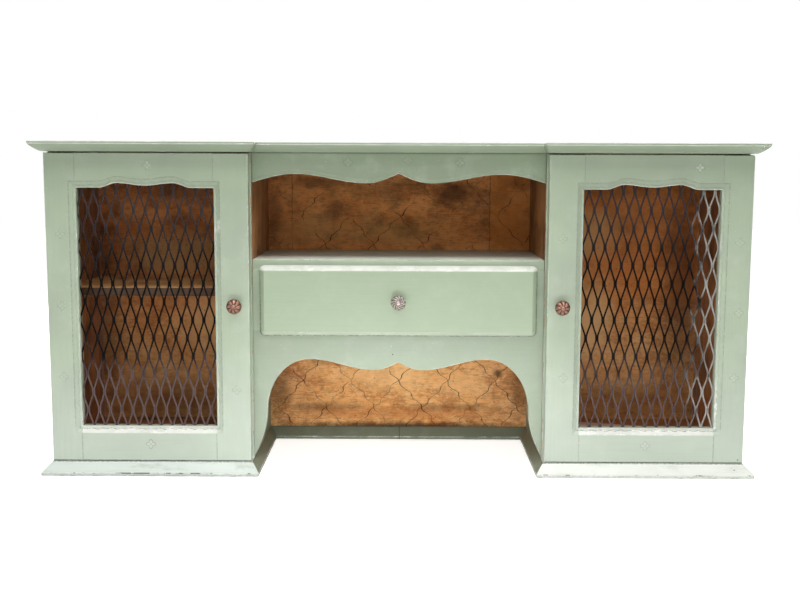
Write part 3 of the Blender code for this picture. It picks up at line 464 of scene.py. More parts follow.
def sage_paint(name, axis=Z, body="sage", chip="primer", chipped=0.0, fade=0.6, rub=0.55, smudge=0.0,
               inside=None, under="stain", dull=0.0, foot=None, joint=None):
    """Satin oil paint brushed on softwood by hand. To the eye: a soft sheen, faint brush marks along the
    board, cloudy grey and chalky patches, a paler and greyer foot that is a painted reflection of the floor,
    a darker top that is painted shade, white or grime-coloured chips where edges were knocked, rubbed pale
    edges that are partly a painted highlight, and dirt in the grooves, which on some edges is painted shade
    as well. Where inside gives an axis and two coordinates, the paint stops between them, and beyond is
    stained wood or another worn coat. A dusty board is dull. A butt joint shows as a dark line at the x given
    by joint."""
    c = colours()
    made, tree, place = start_material(name)
    z = add(tree, "SeparateXYZ", {0: place}, Z)
    worn = add(tree, "Attribute", None, "Fac", attribute_name="wear")
    dirty = add(tree, "Attribute", None, "Fac", attribute_name="dirt")
    cloud_share, brush_share, chip_start, chip_end, reach_in = 0.22, 0.6, 0.70 - chipped, 0.76 - chipped, 0.17
    chalky = {"sage_old": 0.2, "sage_mid": 0.16, "sage_apron": 0.22}.get(body, 0.35)
    cloudy = {"sage": c.sage_grey, "sage_deep": c.sage_shade}.get(body, getattr(c, body))
    clouds, chalk, brushed, specks, smudges, ragged = several(
        tree, place, axis,
        (95.0, 0.30, 0.74, 0.8, 2.0, 0.55, 1), (34.0, 0.44, 0.86, chalky, 4.0, 0.6, 1),
        (2.6, 0.42, 0.8, 0.1, 3.0, 0.55, 34), (4.2, 0.75, 0.79, 0.6, 2.0, 0.55, 1),
        (26.0, 0.5, 0.72, smudge, 6.0, 0.7, 3), (7.0, 0.0, 1.0, 1.0, 6.0, 0.72, 2.5))
    # Painted shade: upper darkens the paint towards the top with the deep sage, standing in for the shade
    # under the cornice.
    upper = ramp(tree, z, start=0.36, end=0.57, top=0.45, smooth=True)
    # Painted reflection: low_down lays the paler, greyer sheen of the floor over the lower boards; fade sets
    # its strength at the foot.
    low_down = ramp(tree, z, start=0.03, end=0.26, foot=fade, top=0.0, smooth=True)
    ragged = maths(tree, "MULTIPLY_ADD", clouds, cloud_share, ragged)
    knocked = ramp(tree, ragged, chip_start, chip_end, smooth=True)
    on_edge = ramp(tree, worn, start=0.2, end=0.7, smooth=True)
    chips = maths(tree, "MULTIPLY", knocked, on_edge)
    # Rubbed edges are real wear, and a painted highlight on the drawer's top bevel and the bottom rails'
    # slope, where wear is set high.
    rubbed = patches(tree, place, size_mm=22.0, start=0.35, end=0.65, top=rub, detail=4.0,
                     foot=max(0.0, 2 * rub - 1.1))
    rubbed = maths(tree, "MULTIPLY", rubbed, on_edge)
    # The dirt attribute is real dirt in grooves and joints, and it is painted shade along the drawer front's
    # rim and on the base's nose.
    dust = patches(tree, place, size_mm=4.5, start=0.34, end=0.62, detail=4.0, foot=0.3)
    dust = maths(tree, "MULTIPLY", dust, dirty)
    shade = layered(tree, getattr(c, body), (clouds, cloudy), (chalk, c.sage_pale), (low_down, c.sage_painted_sheen),
                    (upper, c.sage_deep), (smudges, c.sage_shade), (brushed, c.sage_shade),
                    (specks, c.primer), (rubbed, c.primer), (dust, c.grime_and_shade), (chips, getattr(c, chip)))
    height = maths(tree, "MULTIPLY_ADD", brushed, brush_share, chalk)
    height = maths(tree, "SUBTRACT", height, chips)
    if inside:
        edge_axis, start, end = inside
        depth = add(tree, "SeparateXYZ", {0: place}, edge_axis)
        beyond = ramp(tree, depth, start, end)
        if under == "stain":
            wood, ridges = bare_inside(tree, place, axis, upper, foot)
        else:
            # Painted shade: far_in darkens the centre shelf's top towards the back with grime colour, where
            # the valance shades it.
            far_in = ramp(tree, depth, end, end + reach_in, top=0.5, smooth=True)
            wood, ridges = layered(tree, getattr(c, under), (chalk, c.sage_shade), (far_in, c.grime_and_shade)), height
        shade = layered(tree, shade, (beyond, wood))
        height = add(tree, "Mix", {0: beyond, MIX_FROM: height, MIX_TO: ridges})
    if joint is not None:
        off = maths(tree, "SUBTRACT", add(tree, "SeparateXYZ", {0: place}, X), joint)
        off = maths(tree, "ABSOLUTE", off)
        line = ramp(tree, off, start=0.0005, end=0.0012, foot=0.85, top=0.0)
        shade = layered(tree, shade, (line, c.grime_and_shade))
    rough = uneven_shine(tree, place, size_mm=60.0, dull=0.46 + dull, bright=0.34 + dull)
    end_material(tree, shade, rough, height, depth_mm=0.16, fixed={"IOR": 1.5})
    return made


def stained_softwood(name, axis=X, tones=("stain", "stain_pale", "stain_dark"), edge=None, corner=None):
    """Softwood boards stained brown and left unvarnished. To the eye: streaky grain, worm specks, no shine;
    a floor given pale pink tones shows them as a painted pool of light in its near left corner, and beyond
    a slanting line it turns brown as painted shadow; a shelf's front edge is darkened by painted shade,
    from the y given by edge."""
    c = colours()
    made, tree, place = start_material(name)
    x, y, _ = add(tree, "SeparateXYZ", {0: place}).node.outputs
    shade, height = stained_grain(tree, place, axis, *(getattr(c, tone) for tone in tones))
    if edge is not None:
        # Painted shade: the shelf's front edge is darkened with dark stain, as it lies in shadow.
        dark, clean = edge + 0.0012, edge + 0.005
        painted_shade_edge = ramp(tree, y, dark, clean, foot=0.95, top=0.0)
        shade = layered(tree, shade, (painted_shade_edge, c.stain_dark))
    # Painted light and shadow: the near left corner keeps the pale pink tones as a pool of light, and beyond
    # the slanting line the floor turns brown as shadow.
    if corner is not None:
        slant, reach, soft = *corner, 0.002
        line = maths(tree, "MULTIPLY_ADD", x, slant, y)
        beyond = ramp(tree, line, DOOR_FRONT + reach - soft, DOOR_FRONT + reach + soft)
        shade = layered(tree, shade, (beyond, c.stain))
    rough = uneven_shine(tree, place, size_mm=40.0, dull=0.72, bright=0.55)
    end_material(tree, shade, rough, height, depth_mm=0.35)
    return made


def bare_softwood(name, axis=X):
    """Planed softwood with no finish. To the eye: pale honey wood with fine brown grain, quite matt."""
    c = colours()
    made, tree, place = start_material(name)
    bands = patches(tree, place, size_mm=6.0, start=0.42, end=0.72, top=0.75, detail=5.0, rough=0.6,
                    stretch=along(axis, 30))
    clouds = patches(tree, place, size_mm=60.0, start=0.5, end=0.75, top=0.35)
    shade = layered(tree, c.bare, (bands, c.bare_dark), (clouds, c.stain))
    rough = uneven_shine(tree, place, size_mm=30.0, dull=0.75, bright=0.6)
    end_material(tree, shade, rough, bands, depth_mm=0.25)
    return made


def black_steel(name):
    """Expanded sheet steel dipped in black paint. To the eye: dull brown-black strands, rubbed to grey at
    the bonds, with a painted mauve-grey reflection on the lower third and a fainter one high up, and a
    painted whitish highlight at the right door's outer edge."""
    c = colours()
    made, tree, place = start_material(name)
    x, _, z = add(tree, "SeparateXYZ", {0: place}).node.outputs
    worn = add(tree, "Attribute", None, "Fac", attribute_name="wear")
    rub = patches(tree, place, size_mm=13.0, start=0.48, end=0.66, top=0.8, detail=5.0, rough=0.65)
    bared = maths(tree, "MULTIPLY", rub, worn)
    drift = 0.05
    uneven = patches(tree, place, size_mm=40.0, start=0.0, end=1.0, top=drift, detail=4.0, foot=-drift)
    level = maths(tree, "ADD", z, uneven)
    outer = maths(tree, "ADD", x, uneven)
    # Painted reflection and highlight: low_down and high_up lay the mauve-grey sheen, and far_right a whitish
    # highlight at the right door's outer edge.
    low_down = ramp(tree, level, start=0.15, end=0.23, foot=0.75, top=0.0, smooth=True)
    far_right = ramp(tree, outer, start=0.505, end=0.55, top=0.42, smooth=True)
    high_up = ramp(tree, level, start=0.36, end=0.46, top=0.3)
    shade = layered(tree, c.steel, (high_up, c.steel_painted_sheen), (low_down, c.steel_painted_sheen), (far_right, c.primer),
                    (bared, c.steel_rubbed))
    rough = uneven_shine(tree, place, size_mm=13.0, dull=0.7, bright=0.55)
    end_material(tree, shade, rough, rub, depth_mm=0.15, fixed={"Specular IOR Level": 0.06})
    return made


def cast_metal(name, bright, dark, smooth=0.34):
    """Cast soft metal, polished by hands on its high parts. To the eye: blurred reflections, dark patina in
    the hollows, fine pits from the sand of the mould."""
    made, tree, place = start_material(name)
    pits = patches(tree, place, size_mm=1.6, start=0.0, end=1.0, detail=4.0, rough=0.6)
    tarnish = patches(tree, place, size_mm=6.0, start=0.45, end=0.75, top=0.6, detail=4.0, rough=0.6)
    hollow = add(tree, "Attribute", None, "Fac", attribute_name="wear")
    deep = ramp(tree, hollow, start=0.15, end=0.8, top=0.9, smooth=True)
    shade = layered(tree, bright, (tarnish, dark), (deep, dark))
    rough = uneven_shine(tree, place, size_mm=6.0, dull=smooth + 0.2, bright=smooth, detail=4.0)
    end_material(tree, shade, rough, pits, depth_mm=0.1, fixed={"Metallic": 0.92})
    return made


def dark_iron(name):
    """Pressed iron hinge leaves and nails, oiled and browned. To the eye: dull brown-grey metal, rust
    freckles."""
    c = colours()
    made, tree, place = start_material(name)
    freckles = patches(tree, place, size_mm=3.0, start=0.48, end=0.72, top=0.7, detail=5.0, rough=0.65)
    shade = layered(tree, c.iron, (freckles, c.copper_dark))
    rough = uneven_shine(tree, place, size_mm=3.0, dull=0.62, bright=0.42, detail=5.0)
    end_material(tree, shade, rough, freckles, depth_mm=0.12, fixed={"Metallic": 0.85})
    return made


def recipes():
    """Every finish by name: what makes it, its options and the slot it belongs to."""
    c = colours()
    left_face, right_face = high("outer_side_left", X), low("outer_side_right", X)
    shelf_front, skin, fine = low("centre_shelf", Y), 0.002, 0.0008
    # Painted light: the base's pale body, and primer white at the right front, stand in for the light on its
    # upward slope.
    base = {"body": "sage_faded", "chip": "grime_and_shade", "chipped": 0.1, "fade": 0.6, "smudge": 0.5}
    base_right = {**base, "body": "primer", "chipped": 0.02, "fade": 0.35, "smudge": 0.3}
    old = {"axis": X, "body": "sage_old", "fade": 0.1}
    groups = (
        (sage_paint, "painted_wood", {
            "brushed sage paint upright": {"fade": 0.5},
            "brushed sage paint level": {"axis": X, "fade": 0.5, "rub": 0.8},
            "brushed sage paint depth": {"axis": Y},
            "brushed sage paint base": {"axis": X, **base},
            "brushed sage paint base right": {"axis": X, **base_right},
            "brushed sage paint base side": {"axis": Y, **base},
            "deep sage paint valance": {"axis": X, "body": "sage_deep"},
            "brushed sage paint apron": {"axis": X, "body": "sage_apron", "fade": 0.1},
            "brushed sage paint drawer": {"axis": X, "body": "sage_mid", "fade": 0.0, "rub": 0.85},
            "old sage paint": {**old, "joint": 0.002},
            "dusty sage paint top": {**old, "dull": 0.25},
            "sage paint outer left": {"inside": (X, left_face - skin, left_face - fine)},
            "sage paint outer right": {"inside": (X, right_face + skin, right_face + fine)},
            "sage paint inner side": {"inside": (Y, FACE_FRONT - skin, FACE_FRONT), "chip": "stain",
                                      "chipped": 0.1, "rub": 0.1, "foot": 0.075},
            "sage paint shelf": {"axis": X, "inside": (Y, shelf_front + 0.001, shelf_front + 0.004),
                                 "under": "shelf_grey"},
        }),
        (golden_boards, "stained_wood", {"stained softwood back": {}}),
        (stained_softwood, "stained_wood", {
            "stained softwood": {},
            "scrubbed softwood": {"tones": ("scrubbed", "painted_light_pale", "scrubbed"),
                                  "corner": (0.303, 0.352)},
            "stained softwood shelf": {"tones": ("gold", "gold_pale", "stain"), "edge": low("left_shelf", Y)},
        }),
        (bare_softwood, "bare_wood", {"bare softwood": {}, "bare softwood depth": {"axis": Y}}),
        (black_steel, "black_steel", {"black painted steel": {}}),
        (cast_metal, "copper", {"cast copper": {"bright": c.copper, "dark": c.copper_dark}}),
        (cast_metal, "pewter", {"cast pewter": {"bright": c.pewter, "dark": c.pewter_dark, "smooth": 0.2}}),
        (dark_iron, "dark_iron", {"browned iron": {}}),
    )
    return {name: (maker, options, slot) for maker, slot, group in groups for name, options in group.items()}


def finish(name):
    """The named finish, made once, and the slot it belongs to."""
    maker, options, slot = recipes()[name]
    return bpy.data.materials.get(name) or maker(name, **options), slot


# Shapes

ARC_STEPS = 4  # steps in a rounded edge
CORNERS = np.array([(-1, -1), (1, -1), (1, 1), (-1, 1)])  # of a rectangle, in turn


def add_piece(name, points, look, body, stands_for=(), wear=0.0, dirt=0.0, crease=38.0, faces=None):
    """Makes one object from a grid of points, or from points and faces, turns its faces outwards (the
    volumes under its triangles sum to more than nothing), smooths it up to the crease angle and gives it to
    a body. Wear and dirt, 0 to 1 at each point, are for its finish; in places wear carries a painted
    highlight and dirt a painted shade."""
    points = np.asarray(points, float)
    faces = faces or ring_faces(*points.shape[:2])
    points = points.reshape(-1, 3)
    mesh = bpy.data.meshes.new(name)
    mesh.from_pydata(points.tolist(), [], faces)
    mesh.calc_loop_triangles()
    corners = np.empty(3 * len(mesh.loop_triangles), np.int32)
    mesh.loop_triangles.foreach_get("vertices", corners)
    a, b, c = points[corners.reshape(-1, 3)].transpose(1, 0, 2)
    if np.einsum("ij,ij->", a, np.cross(b, c)) < 0:
        mesh.flip_normals()
    mesh.shade_smooth()
    mesh.set_sharp_from_angle(angle=math.radians(crease))
    for key, marks in (("wear", wear), ("dirt", dirt)):
        spread = np.ascontiguousarray(np.broadcast_to(np.ravel(marks), len(points)), np.float32)
        mesh.attributes.new(key, "FLOAT", "POINT").data.foreach_set("value", spread)
    material, slot = finish(look)
    mesh.materials.append(material)
    made = bpy.data.objects.new(name, mesh)
    bpy.context.scene.collection.objects.link(made)
    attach(made, body)
    if stands_for:
        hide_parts(*stands_for)


def ring_faces(rings, around):
    """Quads between neighbouring rings of points, and one face over each end."""
    grid = np.arange(rings * around).reshape(rings, around)
    turned = np.roll(grid, -1, axis=1)
    quads = np.stack([grid[:-1], turned[:-1], turned[1:], grid[1:]], axis=-1)
    return quads.reshape(-1, 4).tolist() + [grid[0, ::-1].tolist(), grid[-1].tolist()]


def quarter(steps=ARC_STEPS):
    """The angles of a quarter turn in equal steps."""
    return np.linspace(0, np.pi / 2, steps + 1)


def full_turn(steps):
    """The angles of a full turn in equal steps, without the last, which is the first again."""
    return np.linspace(0, 2 * np.pi, steps, endpoint=False)


def corners_of(node):
    """A CAD node's lowest and highest corners."""
    return (np.array(corner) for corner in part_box(node))


def eased(corners, radius, steps=ARC_STEPS):
    """Rounds each corner of a closed outline: a quadratic curve from radius before the corner to radius
    after it. Returns the points and how worn each is, 1 in the middle of a curve and 0 at its ends."""
    corners = np.asarray(corners, float)
    radius = np.broadcast_to(radius, len(corners))[:, None]
    before = np.roll(corners, 1, axis=0) - corners
    after = np.roll(corners, -1, axis=0) - corners
    start = corners + before / np.linalg.norm(before, axis=1, keepdims=True) * radius
    end = corners + after / np.linalg.norm(after, axis=1, keepdims=True) * radius
    u = np.linspace(0, 1, steps + 1)[None, :, None]
    curve = (1 - u) ** 2 * start[:, None] + 2 * u * (1 - u) * corners[:, None] + u ** 2 * end[:, None]
    worn = np.broadcast_to(np.sin(np.pi * u[..., 0]), curve.shape[:2])
    return curve.reshape(-1, 2), worn.ravel()


def rounded_ends(start, end, radius):
    """Sections from start to end of a length with rounded ends, on a quarter circle at each: how far each
    is drawn in, where it lies and how worn it is."""
    turn = quarter()
    inset, rise, worn = radius * (1 - np.sin(turn)), radius * (1 - np.cos(turn)), np.sin(2 * turn)
    place = np.concatenate([start + rise, end - rise[::-1]])
    return np.concatenate([inset, inset[::-1]]), place, np.concatenate([worn, worn[::-1]])


def worn_board(node, look, radius, fill):
    """A board in a CAD node's box with every edge rounded: rounded rectangles along its length, drawn in
    over the last radius at each end. Filler in its end joints makes it longer by fill."""
    least = radius / 5
    near, far = corners_of(node)
    axis = int(np.argmax(far - near))
    across = [k for k in range(3) if k != axis]
    half, middle = (far - near)[across] / 2, (far + near)[across] / 2
    inset, place, end_wear = rounded_ends(near[axis] - fill, far[axis] + fill, radius)
    loops = [eased(middle + CORNERS * (half - i), max(radius - i, least)) for i in inset]
    points = np.zeros((len(place), len(loops[0][0]), 3))
    points[..., across] = [loop for loop, _ in loops]
    points[..., axis] = place[:, None]
    wear = np.maximum([worn for _, worn in loops], end_wear[:, None])
    add_piece(f"{node}_board", points, look, "carcass", (node,), wear)


def inset_outline(outline, inset):
    """A closed outline drawn in by a distance: each point moves along the mean of its two edges' normals,
    further at sharp corners but at most twice."""
    edge = np.roll(outline, -1, axis=0) - outline
    edge /= np.linalg.norm(edge, axis=1, keepdims=True)
    normal = np.stack([-edge[:, 1], edge[:, 0]], axis=1)
    onward = np.roll(outline, -1, axis=0)
    area = np.sum(outline[:, 0] * onward[:, 1] - outline[:, 1] * onward[:, 0])
    mean = normal + np.roll(normal, 1, axis=0)
    mean /= np.linalg.norm(mean, axis=1, keepdims=True)
    reach = 1 / np.clip(np.sum(mean * normal, axis=1, keepdims=True), 0.5, 1)
    return outline + np.sign(area) * inset * reach * mean


def at_depths(loops, depth):
    """Loops of (x, z), each at its own depth, as points."""
    return np.stack([loops[..., 0], np.broadcast_to(depth[:, None], loops.shape[:2]), loops[..., 1]], axis=-1)


def plate(node, outline, look, bead=()):
    """A flat board of a given outline (x, z) with rounded arrises: the outline drawn in and out again from
    its front to its back, hardly at all where it meets another board. A bead is a fine groove in the front,
    given as how far it lies from the edge, its half width and its depth."""
    jointed_share, bead_wear = 0.15, 0.4
    edge_x, top = outline[:, 0].max(), outline[:, 1].max()
    jointed = (np.abs(np.abs(outline[:, 0]) - edge_x) < TINY) | (np.abs(outline[:, 1] - top) < TINY)
    share = np.where(jointed, jointed_share, 1.0)[:, None]
    inset, depth, wear = rounded_ends(FACE_FRONT, FACE_BACK, sizes().arris)
    if bead:
        away, half, deep = bead
        inset = np.concatenate([away + half * np.array([1.0, 0.0, -1.0]), inset])
        depth = np.concatenate([FACE_FRONT + deep * np.array([0.0, 1.0, 0.0]), depth])
        wear = np.concatenate([[0.0, bead_wear, 0.0], wear])
    loops = np.stack([inset_outline(outline, i * share) for i in inset])
    wear = wear[:, None] * np.where(jointed, 0.0, 1.0)
    add_piece(f"{node}_board", at_depths(loops, depth), look, "carcass", (node,), wear)


def sway(start, end, level, steps=14):
    """A smooth line between two points, level at its start, its end or both: a cosine or sine of the way
    along."""
    u = np.linspace(0, 1, steps + 1)[1:]
    turn = np.pi / 2 * u
    rise = {"both": (1 - np.cos(2 * turn)) / 2, "start": 1 - np.cos(turn), "end": np.sin(turn)}[level]
    return np.stack([start[0] + (end[0] - start[0]) * u, start[1] + (end[1] - start[1]) * rise], axis=1)


def mirrored(edge):
    """A lower edge from its right end to the middle, and on to its left end."""
    return np.concatenate([edge, edge[-2::-1] * (-1, 1)])


def valance_outline():
    """From the end up to the hump, down to the dip and up to the middle cusp, mirrored, with a straight
    top."""
    end_drop, hump_drop, dip_drop, cusp_drop, hump_inset, dip_x = 0.052, 0.037, 0.0526, 0.0357, 0.076, 0.056
    half, top = high("valance", X), high("valance", Z)
    end = (half, SIDE_TOP - end_drop)
    hump = (HALF_CENTRE - hump_inset, SIDE_TOP - hump_drop)
    dip = (dip_x, SIDE_TOP - dip_drop)
    cusp = (0.0, SIDE_TOP - cusp_drop)
    edge = [[end], sway(end, hump, "end"), sway(hump, dip, "both"), sway(dip, cusp, "start")]
    return np.concatenate([mirrored(np.concatenate(edge)), [(-half, top), (half, top)]])


def apron_outline():
    """From a leg's tip by a quadratic bend to the leg, by a quarter ellipse to the hump, down to the dip
    and up to the cusp, mirrored, with a straight top."""
    leg_width, leg_height, bend_height, steps = 0.0235, 0.106, 0.071, 14
    hump_drop, dip_drop, cusp_drop, hump_inset, dip_x = 0.0511, 0.0708, 0.0568, 0.099, 0.042
    half, top = high("apron", X), OPENING_FOOT
    tip, corner = np.array((half, low("apron", Z))), np.array((half - leg_width, bend_height))
    leg = np.array((half - leg_width, leg_height))
    hump = np.array((HALF_CENTRE - hump_inset, top - hump_drop))
    dip, cusp = np.array((dip_x, top - dip_drop)), np.array((0.0, top - cusp_drop))
    u = np.linspace(0, 1, steps + 1)[:, None]
    bend = (1 - u) ** 2 * tip + 2 * u * (1 - u) * corner + u ** 2 * leg
    turn = quarter(steps)[1:, None]
    arch = leg + (hump - leg) * np.concatenate([1 - np.cos(turn), np.sin(turn)], axis=1)
    edge = np.concatenate([bend, arch, sway(hump, dip, "both"), sway(dip, cusp, "start")])
    return np.concatenate([mirrored(edge), [(-half, top), (half, top)]])


def bowed_slope(start, end, bulge, steps=8):
    """From start to end, between a flat slope and a quarter round that leaves start upright."""
    u = np.linspace(0, 1, steps + 1)
    across = u + bulge * (1 - np.cos(np.pi / 2 * u) - u)
    rise = u + bulge * (np.sin(np.pi / 2 * u) - u)
    return np.stack([start[0] + (end[0] - start[0]) * across, start[1] + (end[1] - start[1]) * rise], axis=1)


def moulding(node, profile, marks, start, end, outward, mitres, foot, look, seed):
    """A profile of points (out, up) carried along a line in plan. Each end is cut on a slant: a point moves
    along the line by its mitre times how far it stands out. The nose wavers by 0.25 mm, as a hand plane
    leaves it: a sum of sines along the run."""
    spacing, waver, wave_rate, wave_limit = 0.012, 0.00025, 5.1, 3
    wave_numbers = np.arange(3, 8)
    start, end, outward = (np.array(v, float) for v in (start, end, outward))
    way = (end - start) / np.linalg.norm(end - start)
    out, up = profile.T
    reach = np.maximum(out, 0)
    first = start + out[:, None] * outward - way * (mitres[0] * reach - SEAT / 2)[:, None]
    last = end + out[:, None] * outward + way * (mitres[1] * reach - SEAT / 2)[:, None]
    share = np.linspace(0, 1, max(3, int(np.linalg.norm(end - start) / spacing)))
    plan = first + (last - first) * share[:, None, None]
    rolls = np.random.default_rng(seed).uniform(0, 2 * np.pi, len(wave_numbers))
    waves = np.sin(share[:, None] * wave_numbers * wave_rate + rolls).sum(axis=1)
    drop = np.clip(waves, -wave_limit, wave_limit) / wave_limit * waver - waver
    nose = reach / max(reach.max(), TINY)
    plan = plan + outward * (drop[:, None] * nose)[..., None]
    points = np.concatenate([plan, np.broadcast_to(foot + up[:, None], (*plan.shape[:2], 1))], axis=-1)
    worn, dirt = (np.broadcast_to(mark, points.shape[:2]) for mark in marks)
    add_piece(f"{node}_moulding", points, look, "carcass", (node,), worn, dirt)


def moulding_ring(kind, profile, marks, returns, foot, setback, looks):
    """The seven mitred runs round the breakfront plan. The centre run stands at the setback, the two
    returns stand out less. Each kind of run has its own seeds for the waver."""
    seeds = {"side": 10, "front": 20, "return": 30, "centre": 40}
    out = profile[:, 0].max()
    front_depth = high(f"{kind}_left_front", Y) - DOOR_FRONT
    tall = profile[:, 1].max()
    block = np.concatenate([profile, [(0, tall), (-front_depth, tall), (-front_depth, 0), (0, 0)]])
    block_marks = np.concatenate([marks, np.zeros((2, 4))], axis=1)
    line = DOOR_FRONT
    for number, (side, sign) in enumerate(SIDES):
        outer, inner, share = sign * HALF_CASE, sign * HALF_CENTRE, returns[side] / out
        slim = profile * (share, 1)
        slim[:, 0] = np.maximum(slim[:, 0], SEAT)
        front_look = looks.get(f"{side}_front", looks["front"])
        moulding(f"{kind}_{side}_side", profile, marks, (outer, CASE_BACK), (outer, line), (sign, 0), (0, 1),
                 foot, looks["side"], seeds["side"] + number)
        moulding(f"{kind}_{side}_front", block, block_marks, (outer, line), (inner, line), (0, -1),
                 (1, share), foot, front_look, seeds["front"] + number)
        moulding(f"{kind}_{side}_return", slim, marks, (inner, line), (inner, setback), (-sign, 0),
                 (1 / share, -1 / share), foot, looks["return"], seeds["return"] + number)
    moulding(f"{kind}_centre", profile, marks, (-HALF_CENTRE, setback), (HALF_CENTRE, setback), (0, -1),
             (-returns["left"] / out, -returns["right"] / out), foot, looks["centre"], seeds["centre"])


SHARP, WORN_FROM = 0.0001, 0.0006  # radius of a profile's hidden edges, and the least that shows wear
PROFILE_STEPS = 3  # steps in a profile's rounded edge


def cornice_profile():
    """From the foot outwards: the slope out to the nose, the upright nose with eased edges, and the flat
    top. Also its wear, at the nose, and its dirt, at the foot."""
    tall, out, foot_out, nose, bulge = high("top_board", Z) - SIDE_TOP, 0.0205, 0.0030, 0.0042, 0.25
    smooth, foot_round, nose_round, dirt_up, dirt_share = 0.0004, 0.0008, 0.0012, 0.0003, 0.9
    slope = bowed_slope((out, tall - nose), (foot_out, 0.0), bulge)[::-1]
    corners = np.concatenate([[(SEAT, 0.0)], slope, [(out, tall), (SEAT, tall)]])
    radius = np.concatenate([[SHARP], np.full(len(slope), smooth), [nose_round, SHARP]])
    radius[1], radius[len(slope)] = foot_round, nose_round
    points, worn = eased(corners, radius, PROFILE_STEPS)
    worn = worn * np.repeat(radius > WORN_FROM, PROFILE_STEPS + 1)
    return points, np.stack([worn, dirt_share * (points[:, 1] < dirt_up)])


def base_profile():
    """From the foot outwards: the upright edge with eased corners, then the slope back to the face. Also
    its wear, at the edge, and its dirt: where the slope meets the door, and along the knocked edge, where it
    is also painted shade that greys the upright nose in scuffs."""
    tall, out, edge, bulge = high("base_left_side", Z), 0.0172, 0.0058, 0.08
    foot_round, edge_round, smooth, last_share = 0.0018, 0.0016, 0.0002, 0.25
    seam, seam_dirt, below_edge, nose_dirt_and_shade = 0.0009, 0.95, 0.0008, 0.28
    slope = bowed_slope((out, edge), (SEAT, tall), bulge)
    slope = np.insert(slope, -1, slope[-1] + last_share * (slope[-2] - slope[-1]), axis=0)
    corners = np.concatenate([[(SEAT, 0.0), (out, 0.0)], slope])
    radius = np.concatenate([[SHARP, foot_round, edge_round], np.full(len(slope) - 1, smooth)])
    points, worn = eased(corners, radius, PROFILE_STEPS)
    worn = worn * np.repeat(radius > WORN_FROM, PROFILE_STEPS + 1)
    # Painted shade: the dirt on the nose greys the upright face, which gets less light than the slope above
    # it.
    dirt = seam_dirt * (points[:, 1] > tall - seam) + nose_dirt_and_shade * (points[:, 1] < edge - below_edge)
    return points, np.stack([worn, dirt])


# Doors

LIP_COLUMN = ARC_STEPS + 6  # first column of the flat lip in the section of a stile or rail
SLOPE_COLUMNS = slice(ARC_STEPS + 2, ARC_STEPS + 8)  # its columns from the rim of the slope to the lip
FRAME_DIRT = {"low": (0.1, 0.9, 0.6), "high": (0.6, 0.3, 0.12)}  # at the moulding's rim, its lip, the joints
LINE_SPREAD, SEAM_SPREAD = 0.0007, 0.0004  # half widths of the dirt lines on the moulding and in the joints
END_DIRT, END_DIRT_WIDTH, TOP_DIRT_WIDTH = 0.95, 0.0009, 0.0006  # dirt at the frame's foot and top
KNOCKED_STEPS, SEAM_STEPS = 6, 3  # steps in the knocked corner and in the rounded edge at a joint
OPEN_ROWS, OPEN_COLUMNS, GRILLE_ROWS = 190, 130, 180  # sections along a stile, a rail and a strand


def door_lines(side):
    """A door's outer and sight lines, from its CAD nodes: foot, top, sight foot, sight top, and the two
    sight lines in x, inner first."""
    hinge, lock = f"{side}_door_hinge_stile", f"{side}_door_lock_stile"
    sign = dict(SIDES)[side]
    inner = high(lock, X) if sign > 0 else low(lock, X)
    outer = low(hinge, X) if sign > 0 else high(hinge, X)
    return {"foot": low(hinge, Z), "top": high(hinge, Z), "sight_foot": high(f"{side}_door_bottom_rail", Z),
            "sight_top": low(f"{side}_door_top_rail", Z), "inner": inner, "outer": outer}


def arris_depth(away, radius):
    """Depth of a rounded arris at a distance from the edge: a quarter circle."""
    return radius - np.sqrt(np.maximum(radius ** 2 - np.clip(radius - away, 0, radius) ** 2, 0))


def sight_columns():
    """Distances from the sight line across the moulding, from its outer edge to the opening, and how far
    each takes part in the hand-cut wave."""
    s = sizes()
    rim = s.sight_width + np.array([0.0012, 0.0002, -0.0008])
    middle = [(s.sight_width + s.sight_lip) / 2]
    lip = s.sight_lip + np.array([0.0011, 0.0, -0.0011])
    opening = [0.0019, 0.0011, 0.0005, 0.0]
    swing = np.array([0, 0, 0, 0.3, 1, 1, 1, 0.2, 0, 0, 0])
    return np.concatenate([rim, middle, lip, opening]), swing


def sight_depth_at(away):
    """Depth of the door's face at a distance from the sight line: a straight slope from the moulding's
    outer edge to its flat lip, and a worn quarter round at the opening."""
    s = sizes()
    slope = np.clip((s.sight_width - away) / (s.sight_width - s.sight_lip), 0, 1)
    return s.sight_depth * slope + arris_depth(away, WORN_EDGE)


def sight_dirt_at(away, rim, pencil):
    """Dirt on the moulding: a fine line at its outer edge, of strength rim, and one where the slope meets
    the lip."""
    s = sizes()
    return (rim * np.exp(-((away - s.sight_width) / LINE_SPREAD) ** 2)
            + pencil * np.exp(-((away - s.sight_lip) / LINE_SPREAD) ** 2))


def hand_wave(place, ends):
    """Swing of the line between slope and lip: a sine every 17 mm with a slower one under it, gone near the
    ends."""
    fast, slow, slow_share, shift, fade, start = 0.0172, 0.041, 0.35, 1, 0.012, 0.6
    swing = np.sin(2 * np.pi * place / fast) + slow_share * np.sin(2 * np.pi * place / slow + shift)
    return sizes().sight_wave * swing * np.clip(ends / fade - start, 0, 1)


